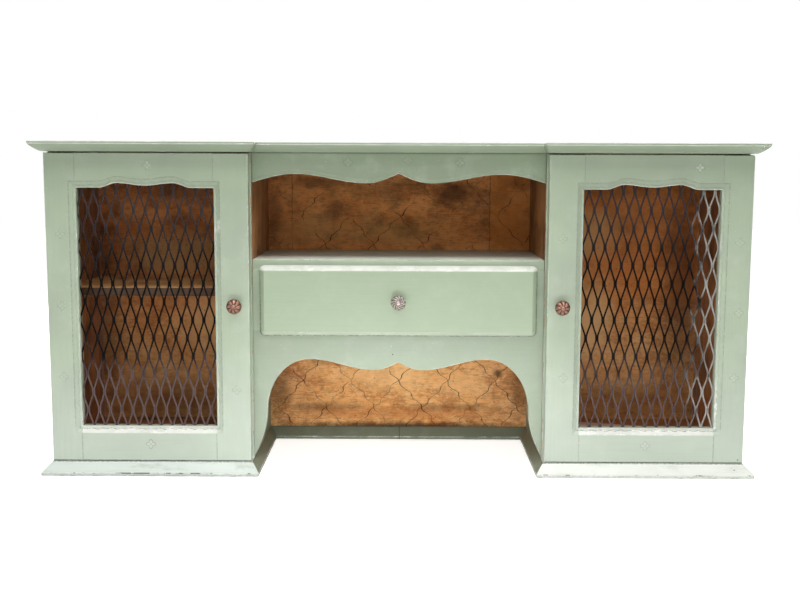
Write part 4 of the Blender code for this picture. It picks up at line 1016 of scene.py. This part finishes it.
def member_columns(width):
    """The closed section of a door's stile or rail, as distances from the sight line: the front from its
    outer arris to the opening, then the rebate and the back. Returns both, each point's wear and its part
    in the wave."""
    s = sizes()
    turn = quarter()
    arc, arc_wear = width - s.arris * (1 - np.cos(turn)), np.sin(2 * turn)
    reach, swing = sight_columns()
    edge_wear = [0.5, 0.9, 1.0]
    front = np.concatenate([arc, reach])
    back = np.array([0.0, s.rebate, s.rebate + TINY, *arc[::-1]])
    wear = np.concatenate([arc_wear, np.zeros(len(reach) - len(edge_wear)), edge_wear, np.zeros(3), arc_wear])
    return front, back, wear, np.concatenate([np.zeros(len(arc)), swing, np.zeros(len(back))])


def rubbed_places(side, which, rows, columns, up):
    """Where a stile's sight moulding is rubbed through: round one spot of the left lock stile, a bell
    curve, and up the lip of the right hinge stile's lower part, fading out upwards. None elsewhere."""
    spot_height, lip_top, lip_fade = 0.012, 0.19, 0.06
    if (side, which) == ("left", "lock"):
        return np.exp(-((rows - RUBBED_Z) / spot_height) ** 2)[:, None] * (columns > ARC_STEPS + 1)
    if (side, which) == ("right", "hinge"):
        return np.clip((lip_top - rows) / lip_fade, 0, 1)[:, None] * (columns >= LIP_COLUMN) * (up < TINY)
    return np.zeros((len(rows), 1))


def door_stile(side, which):
    """An upright of a door's frame: the section repeated up the stile, where the depth of each point
    follows its distance from the opening, the larger of across and up, so that the moulding turns the
    corners in a mitre."""
    s, lines = sizes(), door_lines(side)
    node = f"{side}_door_{which}_stile"
    sign = dict(SIDES)[side] * (1 if which == "hinge" else -1)
    sight = lines["outer"] if which == "hinge" else lines["inner"]
    width, thick = high(node, X) - low(node, X), DOOR_BACK - DOOR_FRONT
    front, back, wear, swing = member_columns(width)
    foot, top, sight_foot, sight_top = (lines[k] for k in ("foot", "top", "sight_foot", "sight_top"))
    rebate_foot, rebate_top = sight_foot - s.rebate, sight_top + s.hump_rise + s.rebate
    ends = s.arris * (1 - np.cos(quarter()))
    knocked = s.worn_corner * (1 - np.cos(quarter(KNOCKED_STEPS)))
    bands = sight_columns()[0]
    rows = np.unique(np.concatenate([
        foot + ends, sight_foot - bands, np.linspace(sight_foot, sight_top, OPEN_ROWS), sight_top + bands,
        top - ends, top - knocked, [rebate_foot - TINY, rebate_foot, rebate_top, rebate_top + TINY]]))
    up = np.maximum(np.maximum(sight_foot - rows, rows - sight_top), 0)[:, None]
    end = np.minimum(rows - foot, top - rows)[:, None]
    away = np.maximum(front[None], up)
    edges = np.maximum(arris_depth(width - front[None], s.arris), arris_depth(end, s.arris))
    joint = up > s.sight_width + WORN_EDGE
    face = np.where(joint, edges, np.maximum(sight_depth_at(away), edges))
    face = np.maximum(face, arris_depth(front[None], s.seam) * joint)
    open_row = (rows >= rebate_foot) & (rows <= rebate_top)
    rear = thick - np.maximum(arris_depth(width - back[None], s.arris), arris_depth(end, s.arris))
    rear[:, :2] = np.where(open_row[:, None], s.lip, thick - s.seam)
    wave = hand_wave(rows, np.minimum(rows - sight_foot, sight_top - rows))[:, None]
    reach = np.concatenate([front, back])[None] + wave * swing
    if (side, which) == ("right", "hinge"):
        reach = np.minimum(reach, width - arris_depth(top - rows, s.worn_corner)[:, None])
    points = np.stack([sight + sign * reach, DOOR_FRONT + np.concatenate([face, rear], axis=1),
                       np.broadcast_to(rows[:, None], reach.shape)], axis=-1)
    columns = np.arange(reach.shape[1])
    worn = np.broadcast_to(wear, reach.shape) * np.where(columns <= ARC_STEPS, 1, up < TINY)
    worn = np.maximum(worn, rubbed_places(side, which, rows, columns, up) * (columns < len(front)))
    low_down = rows[:, None] < sight_foot
    pairs = zip(FRAME_DIRT["low"], FRAME_DIRT["high"])
    rim, pencil, seam_dirt = (np.where(low_down, *pair) for pair in pairs)
    seam_dirt = seam_dirt * np.exp(-(front[None] / SEAM_SPREAD) ** 2)
    dirt = np.where(joint, seam_dirt, sight_dirt_at(away, rim, pencil))
    dirt = np.maximum(dirt, END_DIRT * (end < END_DIRT_WIDTH))
    dirt = np.concatenate([dirt, np.zeros(rear.shape)], axis=1)
    add_piece(f"{node}_moulded", points, "brushed sage paint upright", f"{side}_door", (node,), worn, dirt)


def wave_rise(share):
    """Rise of the top rail's lower edge at a share of the half width from the middle: straight shoulders, a
    hump each side and a dip between, joined by half cosines."""
    s = sizes()
    shoulder, hump = 0.68, 0.41
    share = np.abs(share)
    outer = s.hump_rise * (1 + np.cos(np.pi * np.clip((share - hump) / (shoulder - hump), 0, 1))) / 2
    inner = s.dip_rise + (s.hump_rise - s.dip_rise) * (1 - np.cos(np.pi * np.clip(share / hump, 0, 1))) / 2
    return np.where(share > hump, outer, inner)


def door_rail(side, which):
    """A cross piece of a door's frame: the section carried from stile to stile. The top rail's moulding
    rises and falls with the wave, which fades out towards the rail's upper edge."""
    s, lines = sizes(), door_lines(side)
    lower = which == "bottom"
    clear, slope_painted_highlight = 0.0008, 0.9
    node = f"{side}_door_{which}_rail"
    left, right = low(node, X) - JOINT_FILL, high(node, X) + JOINT_FILL
    middle, half = (left + right) / 2, (right - left) / 2
    sign, end_line = (-1, "foot") if lower else (1, "top")
    sight, outer = lines[f"sight_{end_line}"], lines[end_line]
    width, thick = abs(outer - sight), DOOR_BACK - DOOR_FRONT
    front, back, wear, swing = member_columns(width)
    ends = s.seam * (1 - np.cos(quarter(SEAM_STEPS)))
    open_part = np.linspace(left + clear, right - clear, OPEN_COLUMNS)
    across = np.unique(np.concatenate([left + ends, open_part, right - ends]))
    end = np.minimum(across - left, right - across)[:, None]
    face = np.maximum(sight_depth_at(front[None]), arris_depth(width - front[None], s.arris))
    plain = front[None] > s.sight_width + WORN_EDGE / 2
    face = np.maximum(face, arris_depth(end, s.seam) * plain)
    rear = np.broadcast_to(thick - arris_depth(width - back[None], s.arris), (len(across), len(back))).copy()
    rear[:, :2] = s.lip
    reach = np.concatenate([front, back])[None] + hand_wave(across, end[:, 0])[:, None] * swing
    rise = sign * reach
    if lower:
        # Painted highlight: the bottom rail's upward slope is marked worn so that its paint is rubbed pale,
        # standing in for the light it catches.
        wear[SLOPE_COLUMNS] = slope_painted_highlight
    else:
        wave = wave_rise((across - middle) / half)[:, None]
        rise = rise + wave * np.clip((width - reach) / (width - s.sight_width), 0, 1)
        rise[:, len(front) + 1:len(front) + 3] = s.hump_rise + s.rebate
    points = np.stack([np.broadcast_to(across[:, None], reach.shape),
                       DOOR_FRONT + np.concatenate([face, rear], axis=1), sight + rise], axis=-1)
    rim, pencil, seam_dirt = FRAME_DIRT["low" if lower else "high"]
    seam_dirt = seam_dirt * np.exp(-(end / SEAM_SPREAD) ** 2) * plain
    dirt = np.maximum(sight_dirt_at(front[None], rim, pencil), seam_dirt)
    dirt = np.maximum(dirt, END_DIRT * (width - front[None] < (END_DIRT_WIDTH if lower else TOP_DIRT_WIDTH)))
    dirt = np.concatenate([dirt, np.zeros(rear.shape)], axis=1)
    wear = np.broadcast_to(wear, reach.shape)
    add_piece(f"{node}_moulded", points, "brushed sage paint level", f"{side}_door", (node,), wear, dirt)


FIRST_BOND = {"left": (0.0117, 0.2195), "right": (0.0, 0.2541)}  # out from the middle and up from the foot
WOBBLE_SEED = {"left": 7, "right": 8}


def expanded_metal(side):
    """The grille: upright strands side by side, each swinging from the bond on its left to the bond on its
    right and back once every pitch, with a straight stretch at each bond. A strand is a thin strip that
    stands turned in the sheet, as slitting and stretching leaves it, and turns a little further between
    bonds."""
    s, lines = sizes(), door_lines(side)
    node, sign = f"{side}_door_mesh", dict(SIDES)[side]
    straight, tuck, bared = 0.78, 0.42, 1.4
    wobble_width, wobble_rate, wobble_shift, wobble_turn = 0.00035, 31, 3, 0.12
    lean, twist = math.radians(22), math.radians(14)
    start_x, start_z = FIRST_BOND[side]
    near, far = corners_of(node)
    middle_y = (near[Y] + far[Y]) / 2
    bond_x = (lines["inner"] + lines["outer"]) / 2 + sign * start_x
    bond_z = lines["sight_foot"] + start_z
    half_pitch = s.pitch_x / 2
    first = math.floor((near[X] - bond_x) / half_pitch)
    last = math.ceil((far[X] - bond_x) / half_pitch)
    column = np.arange(first, last)[:, None]
    rows = np.linspace(near[Z], far[Z], GRILLE_ROWS)[None]
    phase = (rows - bond_z) / s.pitch_z - 0.5 * (column % 2)
    away = np.abs(phase - np.round(phase))
    flat = s.bond / 2 / s.pitch_z
    share = np.clip((away - flat) / (0.5 - 2 * flat), 0, 1)
    swing = straight * share + (1 - straight) * share ** 2 * (3 - 2 * share)
    inset = s.strand_width * tuck
    x = bond_x + column * half_pitch + inset + (half_pitch - 2 * inset) * swing
    wobble = np.random.default_rng(WOBBLE_SEED[side]).uniform(-1, 1, (len(column), 3))
    x = x + wobble_width * np.sin(rows * wobble_rate + wobble[:, :1] * wobble_shift) * wobble[:, 1:2]
    tilt = (lean + twist * np.sin(2 * np.pi * phase) + wobble_turn * wobble[:, 2:])[..., None]
    across, deep = (CORNERS * (s.strand_width / 2, s.strand_thick / 2)).T
    dx = across * np.cos(tilt) - deep * np.sin(tilt)
    dy = across * np.sin(tilt) + deep * np.cos(tilt)
    points = np.stack([np.clip(x[..., None] + dx, near[X], far[X]), np.clip(middle_y + dy, near[Y], far[Y]),
                       np.broadcast_to(rows[..., None], dx.shape)], axis=-1)
    count, tall, around = dx.shape
    strand = ring_faces(tall, around)
    faces = [[k + number * tall * around for k in face] for number in range(count) for face in strand]
    wear = np.broadcast_to((away < bared * flat)[..., None] * 1.0, dx.shape)
    add_piece(f"{side}_door_expanded_metal", points, "black painted steel", f"{side}_door", (node,), wear,
              crease=30, faces=faces)


# Drawer front and knobs

def drawer_front():
    """The overlay front: rounded rectangles from the flat face outwards down the bevel (a slope that
    steepens a little, as a line plus a square), straight to the back and in again. Dirt and painted shadow
    lie along its rim, but not on top. The bevel is paler above, partly rubbed paint and partly a painted
    highlight, and a little paler below, which is painted light."""
    s = sizes()
    near, far = corners_of("drawer_front")
    half, middle = (far - near)[[X, Z]] / 2, (far + near)[[X, Z]] / 2
    thick, ease, flat_edge, drop, line_share, least = far[Y] - near[Y], 0.0006, 0.0015, 0.001, 0.7, 0.0025
    band, top_fade, foot_fade, foot_painted_light = 0.012, 0.008, 0.004, 0.38
    rings, corner_steps = 9, 8
    share = np.linspace(0, 1, rings)
    inset = np.concatenate([[s.bevel_width + flat_edge], s.bevel_width * (1 - share), [0.0, 0.0, ease]])
    depth = np.concatenate([[0.0], s.bevel_depth * (line_share * share + (1 - line_share) * share ** 2),
                            [s.bevel_depth + drop, thick - ease, thick]])
    wear = np.concatenate([[0.0, 0.3], np.zeros(rings - 2), [0.4, 0.2, 0.0, 0.0]])
    # Painted shadow and dirt: the dark rim stands in for the shadow gap round the overlay front.
    rim = np.concatenate([np.zeros(rings - 2), [0.25, 0.75, 0.95, 0.95, 0.95, 0.95]])
    radii = np.maximum(s.drawer_corner - inset, least)
    loops = [eased(middle + CORNERS * (half - i), radius, corner_steps)[0] for i, radius in zip(inset, radii)]
    loops = np.stack(loops)
    # Painted highlight and light: the top of the bevel is rubbed pale as a highlight, its foot paler as light
    # from below; on_top also keeps the rim's dark line off the top.
    on_top = np.clip((loops[..., 1] - far[Z] + band) / top_fade, 0, 1)
    on_foot = np.clip((near[Z] + band - loops[..., 1]) / foot_fade, 0, 1)
    rubbed = (on_top + foot_painted_light * on_foot) * (inset < s.bevel_width + TINY)[:, None]
    add_piece("drawer_front_bevelled", at_depths(loops, near[Y] + depth), "brushed sage paint drawer",
              "drawer", ("drawer_front",), np.maximum(wear[:, None], rubbed), rim[:, None] * (1 - on_top),
              crease=24)


def knob(name, node, body, look, petals, groove, twist):
    """A cast rosette knob about its own axis: foot, waisted neck and domed head. On the dome the height
    falls into a valley between each two petals (one less the root of a rectified cosine round the knob), a
    ring groove runs round the boss, and the boss is a small dome."""
    near, far = corners_of(node)
    radius, total = (far[X] - near[X]) / 2, far[Y] - near[Y]
    middle_x, middle_z = (near[X] + far[X]) / 2, (near[Z] + far[Z]) / 2
    rim, boss, lift, tip, dome_power, petal_power = 0.0139, 0.27, 0.0009, 0.03, 1.15, 0.7
    ring_gap, ring_width, ring_depth, ring_dark, stem_dark = 0.05, 0.035, 0.0007, 0.9, 0.5
    petal_gap, petal_fade, edge, edge_fade, edge_least = 0.04, 0.12, 1.02, 0.06, 0.35
    scallop, scallop_from, rings, points_around = 0.05, 0.7, 33, 144
    stem_r = np.array([0.0090, 0.0090, 0.0084, 0.0062, 0.0055, 0.0056, 0.0075, 0.0108, 0.0128])
    stem_h = np.array([0.0, 0.0013, 0.0024, 0.0031, 0.0045, 0.0072, 0.0092, 0.0112, 0.0125])
    turn = quarter(rings)[:-1]
    share = np.concatenate([np.ones(len(stem_r)), np.cos(turn), [tip]])[:, None]
    dome_h = rim + (total - lift - rim) * np.sin(turn) ** dome_power
    ring_r = np.concatenate([stem_r, radius * np.cos(turn), [tip * radius]])[:, None]
    height = np.concatenate([stem_h, dome_h, [total - lift]])[:, None]
    on_dome = np.concatenate([np.zeros(len(stem_r)), np.ones(len(turn) + 1)])[:, None]
    around = full_turn(points_around)[None]
    valley = 1 - np.abs(np.cos(petals / 2 * (around + twist * (1 - share)))) ** petal_power
    window = on_dome * np.clip((share - boss - petal_gap) / petal_fade, 0, 1)
    window = window * np.clip((edge - share) / edge_fade, edge_least, 1)
    ring = on_dome * np.exp(-((share - boss - ring_gap) / ring_width) ** 2)
    crown = on_dome * np.sqrt(np.clip(1 - (share / boss) ** 2, 0, 1))
    height = height - groove * valley * window - ring_depth * ring + lift * crown
    notch = np.clip((share - scallop_from) / (1 - scallop_from), 0, 1)
    spread = ring_r * (1 - scallop * valley * on_dome * notch)
    points = np.stack([middle_x + spread * np.cos(around), far[Y] - height + 0 * around,
                       middle_z + spread * np.sin(around)], axis=-1)
    hollow = np.clip(valley * window + ring_dark * ring + (1 - on_dome) * stem_dark, 0, 1)
    add_piece(name, points, look, body, (node,), hollow, crease=60)


def rosette(name, body, look, x, front, z, dirty, bare):
    """A faint rosette under the paint: a round patch of its carrier's own paint, raised into four petals
    (inside an outline that swells four times round), with a dimple in the middle, dirt in the outline and a
    rim that sinks into the board."""
    s = sizes()
    least, swell, swell_power, petal_edge, dimple = 0.42, 0.46, 1.3, 0.16, 0.2
    inner, outer, rings, points_around, line_width, eye_width = 0.04, 0.94, 13, 48, 0.1, 0.14
    share = np.append(np.linspace(inner, outer, rings), 1.0)[:, None]
    around = full_turn(points_around)[None]
    outline = least + swell * np.abs(np.cos(2 * around)) ** swell_power
    petal = np.clip((outline - share) / petal_edge, 0, 1) * np.clip(share / dimple, dimple, 1)
    rise = s.motif_relief * petal + SKIN
    rise[-1] = -SEAT
    dirt = dirty * (np.exp(-((share - outline) / line_width) ** 2) + np.exp(-(share / eye_width) ** 2))
    points = np.stack([x + s.motif / 2 * share * np.cos(around), front - rise,
                       z + s.motif / 2 * share * np.sin(around)], axis=-1)
    add_piece(name, points, look, body, (), bare * petal, dirt)


NAILS = {  # body, place and outward line of each nail's head
    "apron_nail": ("carcass", (-0.0096, FACE_FRONT, 0.2101), (0, -1, 0)),
    "base_nail": ("carcass", (0.590, DOOR_FRONT - 0.0096, 0.0140), (0, -0.71, 0.70)),
    "right_door_nail": ("right_door", (0.5981, DOOR_FRONT, 0.0298), (0, -1, 0)),
}


def nail(name, radius=0.0013):
    """A nail's head: a low dome about its outward line, half its radius high, whose foot sinks into the
    wood."""
    body, at, outward = NAILS[name]
    outward = np.array(outward) / np.linalg.norm(outward)
    side = np.cross(outward, (1.0, 0.0, 0.0))
    side /= np.linalg.norm(side)
    other = np.cross(outward, side)
    rings, points_around, dome = 5, 16, 0.5
    turn, around = quarter(rings)[:-1, None, None], full_turn(points_around)[None, :, None]
    points = (np.array(at) + radius * np.cos(turn) * (np.cos(around) * side + np.sin(around) * other)
              + (dome * radius * np.sin(turn) - SEAT) * outward)
    add_piece(name, points, "browned iron", body)


# Operators

class CABINET_OT_case_boards(bpy.types.Operator):
    """Rounds the edges of the case's boards and paints or stains them"""
    bl_idname = "cabinet.case_boards"
    bl_label = "Case boards"

    def execute(self, context):
        looks = {
            "outer_side_left": "sage paint outer left", "outer_side_right": "sage paint outer right",
            "inner_side_left": "sage paint inner side", "inner_side_right": "sage paint inner side",
            "centre_shelf": "sage paint shelf", "left_shelf": "stained softwood shelf",
            "drawer_stile_left": "brushed sage paint upright",
            "drawer_stile_right": "brushed sage paint upright", "top_board": "dusty sage paint top",
        }
        for node, look in looks.items():
            jointed = node.startswith("drawer_stile")
            radius, fill = (sizes().seam, SEAT) if jointed else (sizes().arris, 0.0)
            worn_board(node, look, radius, fill)
        return {"FINISHED"}


class CABINET_OT_face_boards(bpy.types.Operator):
    """Cuts the valance and the apron with their scalloped edges"""
    bl_idname = "cabinet.face_boards"
    bl_label = "Valance and apron"

    def execute(self, context):
        bead_away, bead_half, bead_depth = 0.0072, 0.0007, 0.0005
        bead = (bead_away, bead_half, bead_depth)
        plate("valance", valance_outline(), "deep sage paint valance", bead)
        plate("apron", apron_outline(), "brushed sage paint apron")
        nail("apron_nail")
        return {"FINISHED"}


class CABINET_OT_mouldings(bpy.types.Operator):
    """Runs the cornice and the base moulding round the case"""
    bl_idname = "cabinet.mouldings"
    bl_label = "Cornice and base"

    def execute(self, context):
        level, depth = "brushed sage paint level", "brushed sage paint depth"
        looks = {"front": level, "centre": level, "return": depth, "side": depth}
        returns = {"left": 0.0120, "right": 0.0070}
        moulding_ring("cornice", *cornice_profile(), returns, SIDE_TOP, FACE_FRONT, looks)
        looks = {"front": "brushed sage paint base", "right_front": "brushed sage paint base right",
                 "side": "brushed sage paint base side", "centre": "old sage paint",
                 "return": "old sage paint"}
        returns = {"left": 0.0132, "right": 0.0135}
        moulding_ring("base", *base_profile(), returns, CAD_BOX[0][Z], BACK_FACE, looks)
        nail("base_nail")
        return {"FINISHED"}


class CABINET_OT_door_frames(bpy.types.Operator):
    """Builds the doors' moulded stiles and rails"""
    bl_idname = "cabinet.door_frames"
    bl_label = "Door frames"

    def execute(self, context):
        for side, _ in SIDES:
            door_stile(side, "hinge")
            door_stile(side, "lock")
            door_rail(side, "top")
            door_rail(side, "bottom")
        nail("right_door_nail")
        return {"FINISHED"}


class CABINET_OT_grilles(bpy.types.Operator):
    """Stretches the expanded metal in the doors"""
    bl_idname = "cabinet.grilles"
    bl_label = "Expanded metal"

    def execute(self, context):
        for side, _ in SIDES:
            expanded_metal(side)
        return {"FINISHED"}


ROSETTES = {  # x and z of the faint rosettes, by what carries them
    "left_door": ((-0.5819, 0.4227), (-0.5827, 0.2980), (-0.5834, 0.1729), (-0.4342, 0.0538),
                  (-0.4294, 0.5410), (-0.2814, 0.1512)),
    "right_door": ((0.2825, 0.4176), (0.2879, 0.1751), (0.5866, 0.4120), (0.5900, 0.2907), (0.5859, 0.1764),
                   (0.4346, 0.0543), (0.5134, 0.5400)),
    "carcass": ((-0.0881, 0.5470), (0.0158, 0.5510), (0.1058, 0.5470)),
}


class CABINET_OT_rosettes(bpy.types.Operator):
    """Raises the faint rosettes under the paint of the doors and the valance"""
    bl_idname = "cabinet.rosettes"
    bl_label = "Rosettes"

    def execute(self, context):
        valance_dirt, door_dirt, foot_dirt, foot_top = 0.12, 0.3, 0.6, 0.1
        bare, rubbed_bare, rubbed_foot = 0.35, 0.46, 0.5
        for side, sign in SIDES:
            body, lines = f"{side}_door", door_lines(side)
            for number, (x, z) in enumerate(ROSETTES[body], 1):
                on_rail = min(lines["inner"], lines["outer"]) < x < max(lines["inner"], lines["outer"])
                look = "brushed sage paint level" if on_rail else "brushed sage paint upright"
                dirt = foot_dirt if sign < 0 and z < foot_top else door_dirt
                rubbed = rubbed_bare if sign > 0 and z > rubbed_foot else bare
                rosette(f"{body}_rosette_{number}", body, look, x, DOOR_FRONT, z, dirt, rubbed)
        for number, (x, z) in enumerate(ROSETTES["carcass"], 1):
            rosette(f"valance_rosette_{number}", "carcass", "deep sage paint valance", x, FACE_FRONT, z,
                    valance_dirt, bare)
        return {"FINISHED"}


class CABINET_OT_drawer(bpy.types.Operator):
    """Bevels the drawer front"""
    bl_idname = "cabinet.drawer"
    bl_label = "Drawer front"

    def execute(self, context):
        drawer_front()
        return {"FINISHED"}


class CABINET_OT_knobs(bpy.types.Operator):
    """Casts the three knobs"""
    bl_idname = "cabinet.knobs"
    bl_label = "Knobs"

    def execute(self, context):
        petals, flutes = sizes().door_petals, sizes().drawer_petals
        for side, _ in SIDES:
            knob(f"{side}_door_rosette_knob", f"{side}_door_knob", f"{side}_door", "cast copper", petals,
                 groove=0.0018, twist=0.25)
        knob("drawer_fluted_knob", "drawer_knob", "drawer", "cast pewter", flutes, groove=0.0022, twist=1.1)
        return {"FINISHED"}


class CABINET_OT_plain_parts(bpy.types.Operator):
    """Gives the parts that keep their CAD shape their wood, paint and iron"""
    bl_idname = "cabinet.plain_parts"
    bl_label = "Plain parts"

    def execute(self, context):
        looks = {
            "stained softwood back": ["back_panel"], "stained softwood": ["floor_left"],
            "scrubbed softwood": ["floor_right"], "bare softwood": ["drawer_back", "drawer_bottom"],
            "bare softwood depth": ["left_shelf_cleat_inner", "left_shelf_cleat_outer", "drawer_runner_left",
                                    "drawer_runner_right", "drawer_left_side", "drawer_right_side"],
            "brushed sage paint upright": ["left_door_mesh_bead", "right_door_mesh_bead"],
            "browned iron": [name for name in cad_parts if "_hinge_" in name and name.endswith("_leaf")],
        }
        for look, names in looks.items():
            for name in names:
                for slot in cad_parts[name].material_slots:
                    slot.material = finish(look)[0]
        return {"FINISHED"}


class CABINET_OT_stage(bpy.types.Operator):
    """Sets the pale floor, the soft lights and the camera"""
    bl_idname = "cabinet.stage"
    bl_label = "Stage"

    def execute(self, context):
        build_floor()
        build_lights()
        build_camera()
        context.scene.view_settings.view_transform = "Standard"
        return {"FINISHED"}


AMBIENT = 0.02  # strength of the even light from the world
LAMPS = (  # name, place, aim, size, spread in degrees, shows in reflections, watts
    ("soft box over the front", (-0.05, -0.66, 1.9), (-0.05, -0.63, 0.0), (2.4, 0.5), 180, True, 24.0),
    ("soft box at the front", (0.0, -1.3, 1.35), (0.0, 0.0, 0.2), (2.4, 0.4), 180, True, 9.0),
    ("low soft panel", (0.0, -0.62, 0.05), (0.0, -0.1, 0.06), (2.4, 0.09), 180, False, 2.3),
    ("soft panel at eye level", (0.0, -2.4, 0.7), (0.0, 0.0, 0.25), (2.4, 0.5), 180, False, 4.8),
    ("card before the arch", (0.0, -1.1, 0.06), (0.0, 0.15, 0.12), (0.42, 0.05), 34, False, 0.22),
    ("soft panel behind", (0.0, 2.2, 1.3), (0.0, 0.1, 0.3), (2.4, 1.0), 180, True, 40.0),
    ("soft panel at the left", (-2.2, 0.5, 1.0), (-0.6, 0.1, 0.3), (0.6, 1.0), 180, True, 12.0),
    ("soft panel at the right", (2.2, 0.5, 1.0), (0.6, 0.1, 0.3), (0.6, 1.0), 180, True, 12.0),
)


def seen_rays(tree):
    """1 for what the camera sees straight, in a reflection or through glass, 0 for the light that falls on
    things."""
    ray = add(tree, "LightPath").node.outputs
    mirrored_too = maths(tree, "MAXIMUM", ray["Is Camera Ray"], ray["Is Glossy Ray"])
    return maths(tree, "MAXIMUM", mirrored_too, ray["Is Transmission Ray"])


def build_floor():
    """A wide flat floor. To the camera and in reflections it is topped up to white, and keeps the
    shadow."""
    reach, below = 8.0, 0.0005
    level = np.full((len(CORNERS), 1), CAD_BOX[0][Z] - below)
    mesh = bpy.data.meshes.new("studio_floor")
    mesh.from_pydata(np.hstack([CORNERS * reach, level]).tolist(), [], [(0, 1, 2, 3)])
    floor = bpy.data.objects.new("studio_floor", mesh)
    bpy.context.scene.collection.objects.link(floor)
    made, tree, place = start_material("matt studio floor")
    squeezed = add(tree, "Mapping", {"Vector": place, "Scale": (0.75, 1.0, 1.0)})
    away = add(tree, "VectorMath", {0: squeezed}, "Value", operation="LENGTH")
    topped = ramp(tree, away, start=0.35, end=0.75, foot=0.8, top=1.0, smooth=True)
    glow = maths(tree, "MULTIPLY", seen_rays(tree), topped)
    speckles, pale_grey = patches(tree, place, size_mm=4.0, start=0.4, end=0.7, top=0.1), (0.8, 0.8, 0.8)
    shade = layered(tree, colours().floor, (speckles, pale_grey))
    rough = uneven_shine(tree, place, size_mm=4.0, dull=0.9, bright=0.75, detail=2.0)
    end_material(tree, shade, rough, fixed={"Emission Color": (1, 1, 1), "Emission Strength": glow})
    mesh.materials.append(made)


def build_lights():
    """Large soft lamps above and before the front, a low one for the floor's bounce, softer ones behind and
    at the sides, and an even pale world."""
    world = bpy.data.worlds.new("white studio")
    world.use_nodes = True
    tree = world.node_tree
    tree.nodes.clear()
    level = ramp(tree, seen_rays(tree), start=0.0, end=1.0, foot=AMBIENT)
    add(tree, "OutputWorld", {"Surface": add(tree, "Background", {"Color": (1, 1, 1), "Strength": level})})
    bpy.context.scene.world = world
    for name, at, aim, size, spread, shows, watts in LAMPS:
        lamp = bpy.data.lights.new(name, "AREA")
        lamp.shape, (lamp.size, lamp.size_y), lamp.energy = "RECTANGLE", size, watts
        lamp.spread = math.radians(spread)
        holder = bpy.data.objects.new(name, lamp)
        bpy.context.scene.collection.objects.link(holder)
        holder.location = at
        holder.visible_camera, holder.visible_glossy = False, shows
        holder.rotation_euler = (Vector(aim) - Vector(at)).to_track_quat("-Z", "Y").to_euler()


def build_camera():
    """The photograph's camera: place, pitch, yaw and roll as solved from the cabinet's straight lines."""
    image_width, focal_px, sensor = 800, 1076.09, 36.0
    at = Vector((0.0076, DOOR_FRONT - 1.8484, 0.5336))
    pitch, yaw, roll = 0.1199, 0.0025, 0.0039
    ahead = Vector((-math.sin(yaw) * math.cos(pitch), math.cos(yaw) * math.cos(pitch), -math.sin(pitch)))
    right = Vector((math.cos(yaw), math.sin(yaw), 0))
    up = right.cross(ahead)
    turned_right = right * math.cos(roll) + up * math.sin(roll)
    turned_up = up * math.cos(roll) - right * math.sin(roll)
    camera = bpy.data.objects.new("camera", bpy.data.cameras.new("camera"))
    bpy.context.scene.collection.objects.link(camera)
    placing = Matrix((turned_right, turned_up, -ahead)).transposed().to_4x4()
    placing.translation = at
    camera.matrix_world = placing
    camera.data.sensor_width = sensor
    camera.data.lens = focal_px * sensor / image_width
    bpy.context.scene.camera = camera


OPERATORS = (
    CABINET_OT_stage, CABINET_OT_case_boards, CABINET_OT_face_boards, CABINET_OT_mouldings,
    CABINET_OT_door_frames, CABINET_OT_grilles, CABINET_OT_rosettes, CABINET_OT_drawer, CABINET_OT_knobs,
    CABINET_OT_plain_parts,
)


class CABINET_PT_panel(bpy.types.Panel):
    """Lists the settings and the steps that dress the cabinet"""
    bl_idname = "CABINET_PT_panel"
    bl_label = "Painted wall cabinet"
    bl_space_type = "VIEW_3D"
    bl_region_type = "UI"
    bl_category = "Cabinet"

    def draw(self, context):
        for group in (context.scene.cabinet_sizes, context.scene.cabinet_colours):
            box = self.layout.box()
            for key in group.__annotations__:
                box.prop(group, key)
        for operator in OPERATORS:
            self.layout.operator(operator.bl_idname)


CLASSES = (CabinetSizes, CabinetColours, *OPERATORS, CABINET_PT_panel)


def register():
    """Adds the classes and their settings to the program."""
    for made in CLASSES:
        bpy.utils.register_class(made)
    bpy.types.Scene.cabinet_sizes = bpy.props.PointerProperty(type=CabinetSizes)
    bpy.types.Scene.cabinet_colours = bpy.props.PointerProperty(type=CabinetColours)


def unregister():
    """Takes them out again."""
    del bpy.types.Scene.cabinet_sizes
    del bpy.types.Scene.cabinet_colours
    for made in reversed(CLASSES):
        bpy.utils.unregister_class(made)


def main():
    """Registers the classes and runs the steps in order."""
    register()
    for operator in OPERATORS:
        group, step = operator.bl_idname.split(".")
        getattr(getattr(bpy.ops, group), step)()
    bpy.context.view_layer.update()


if __name__ == "__main__":
    main()
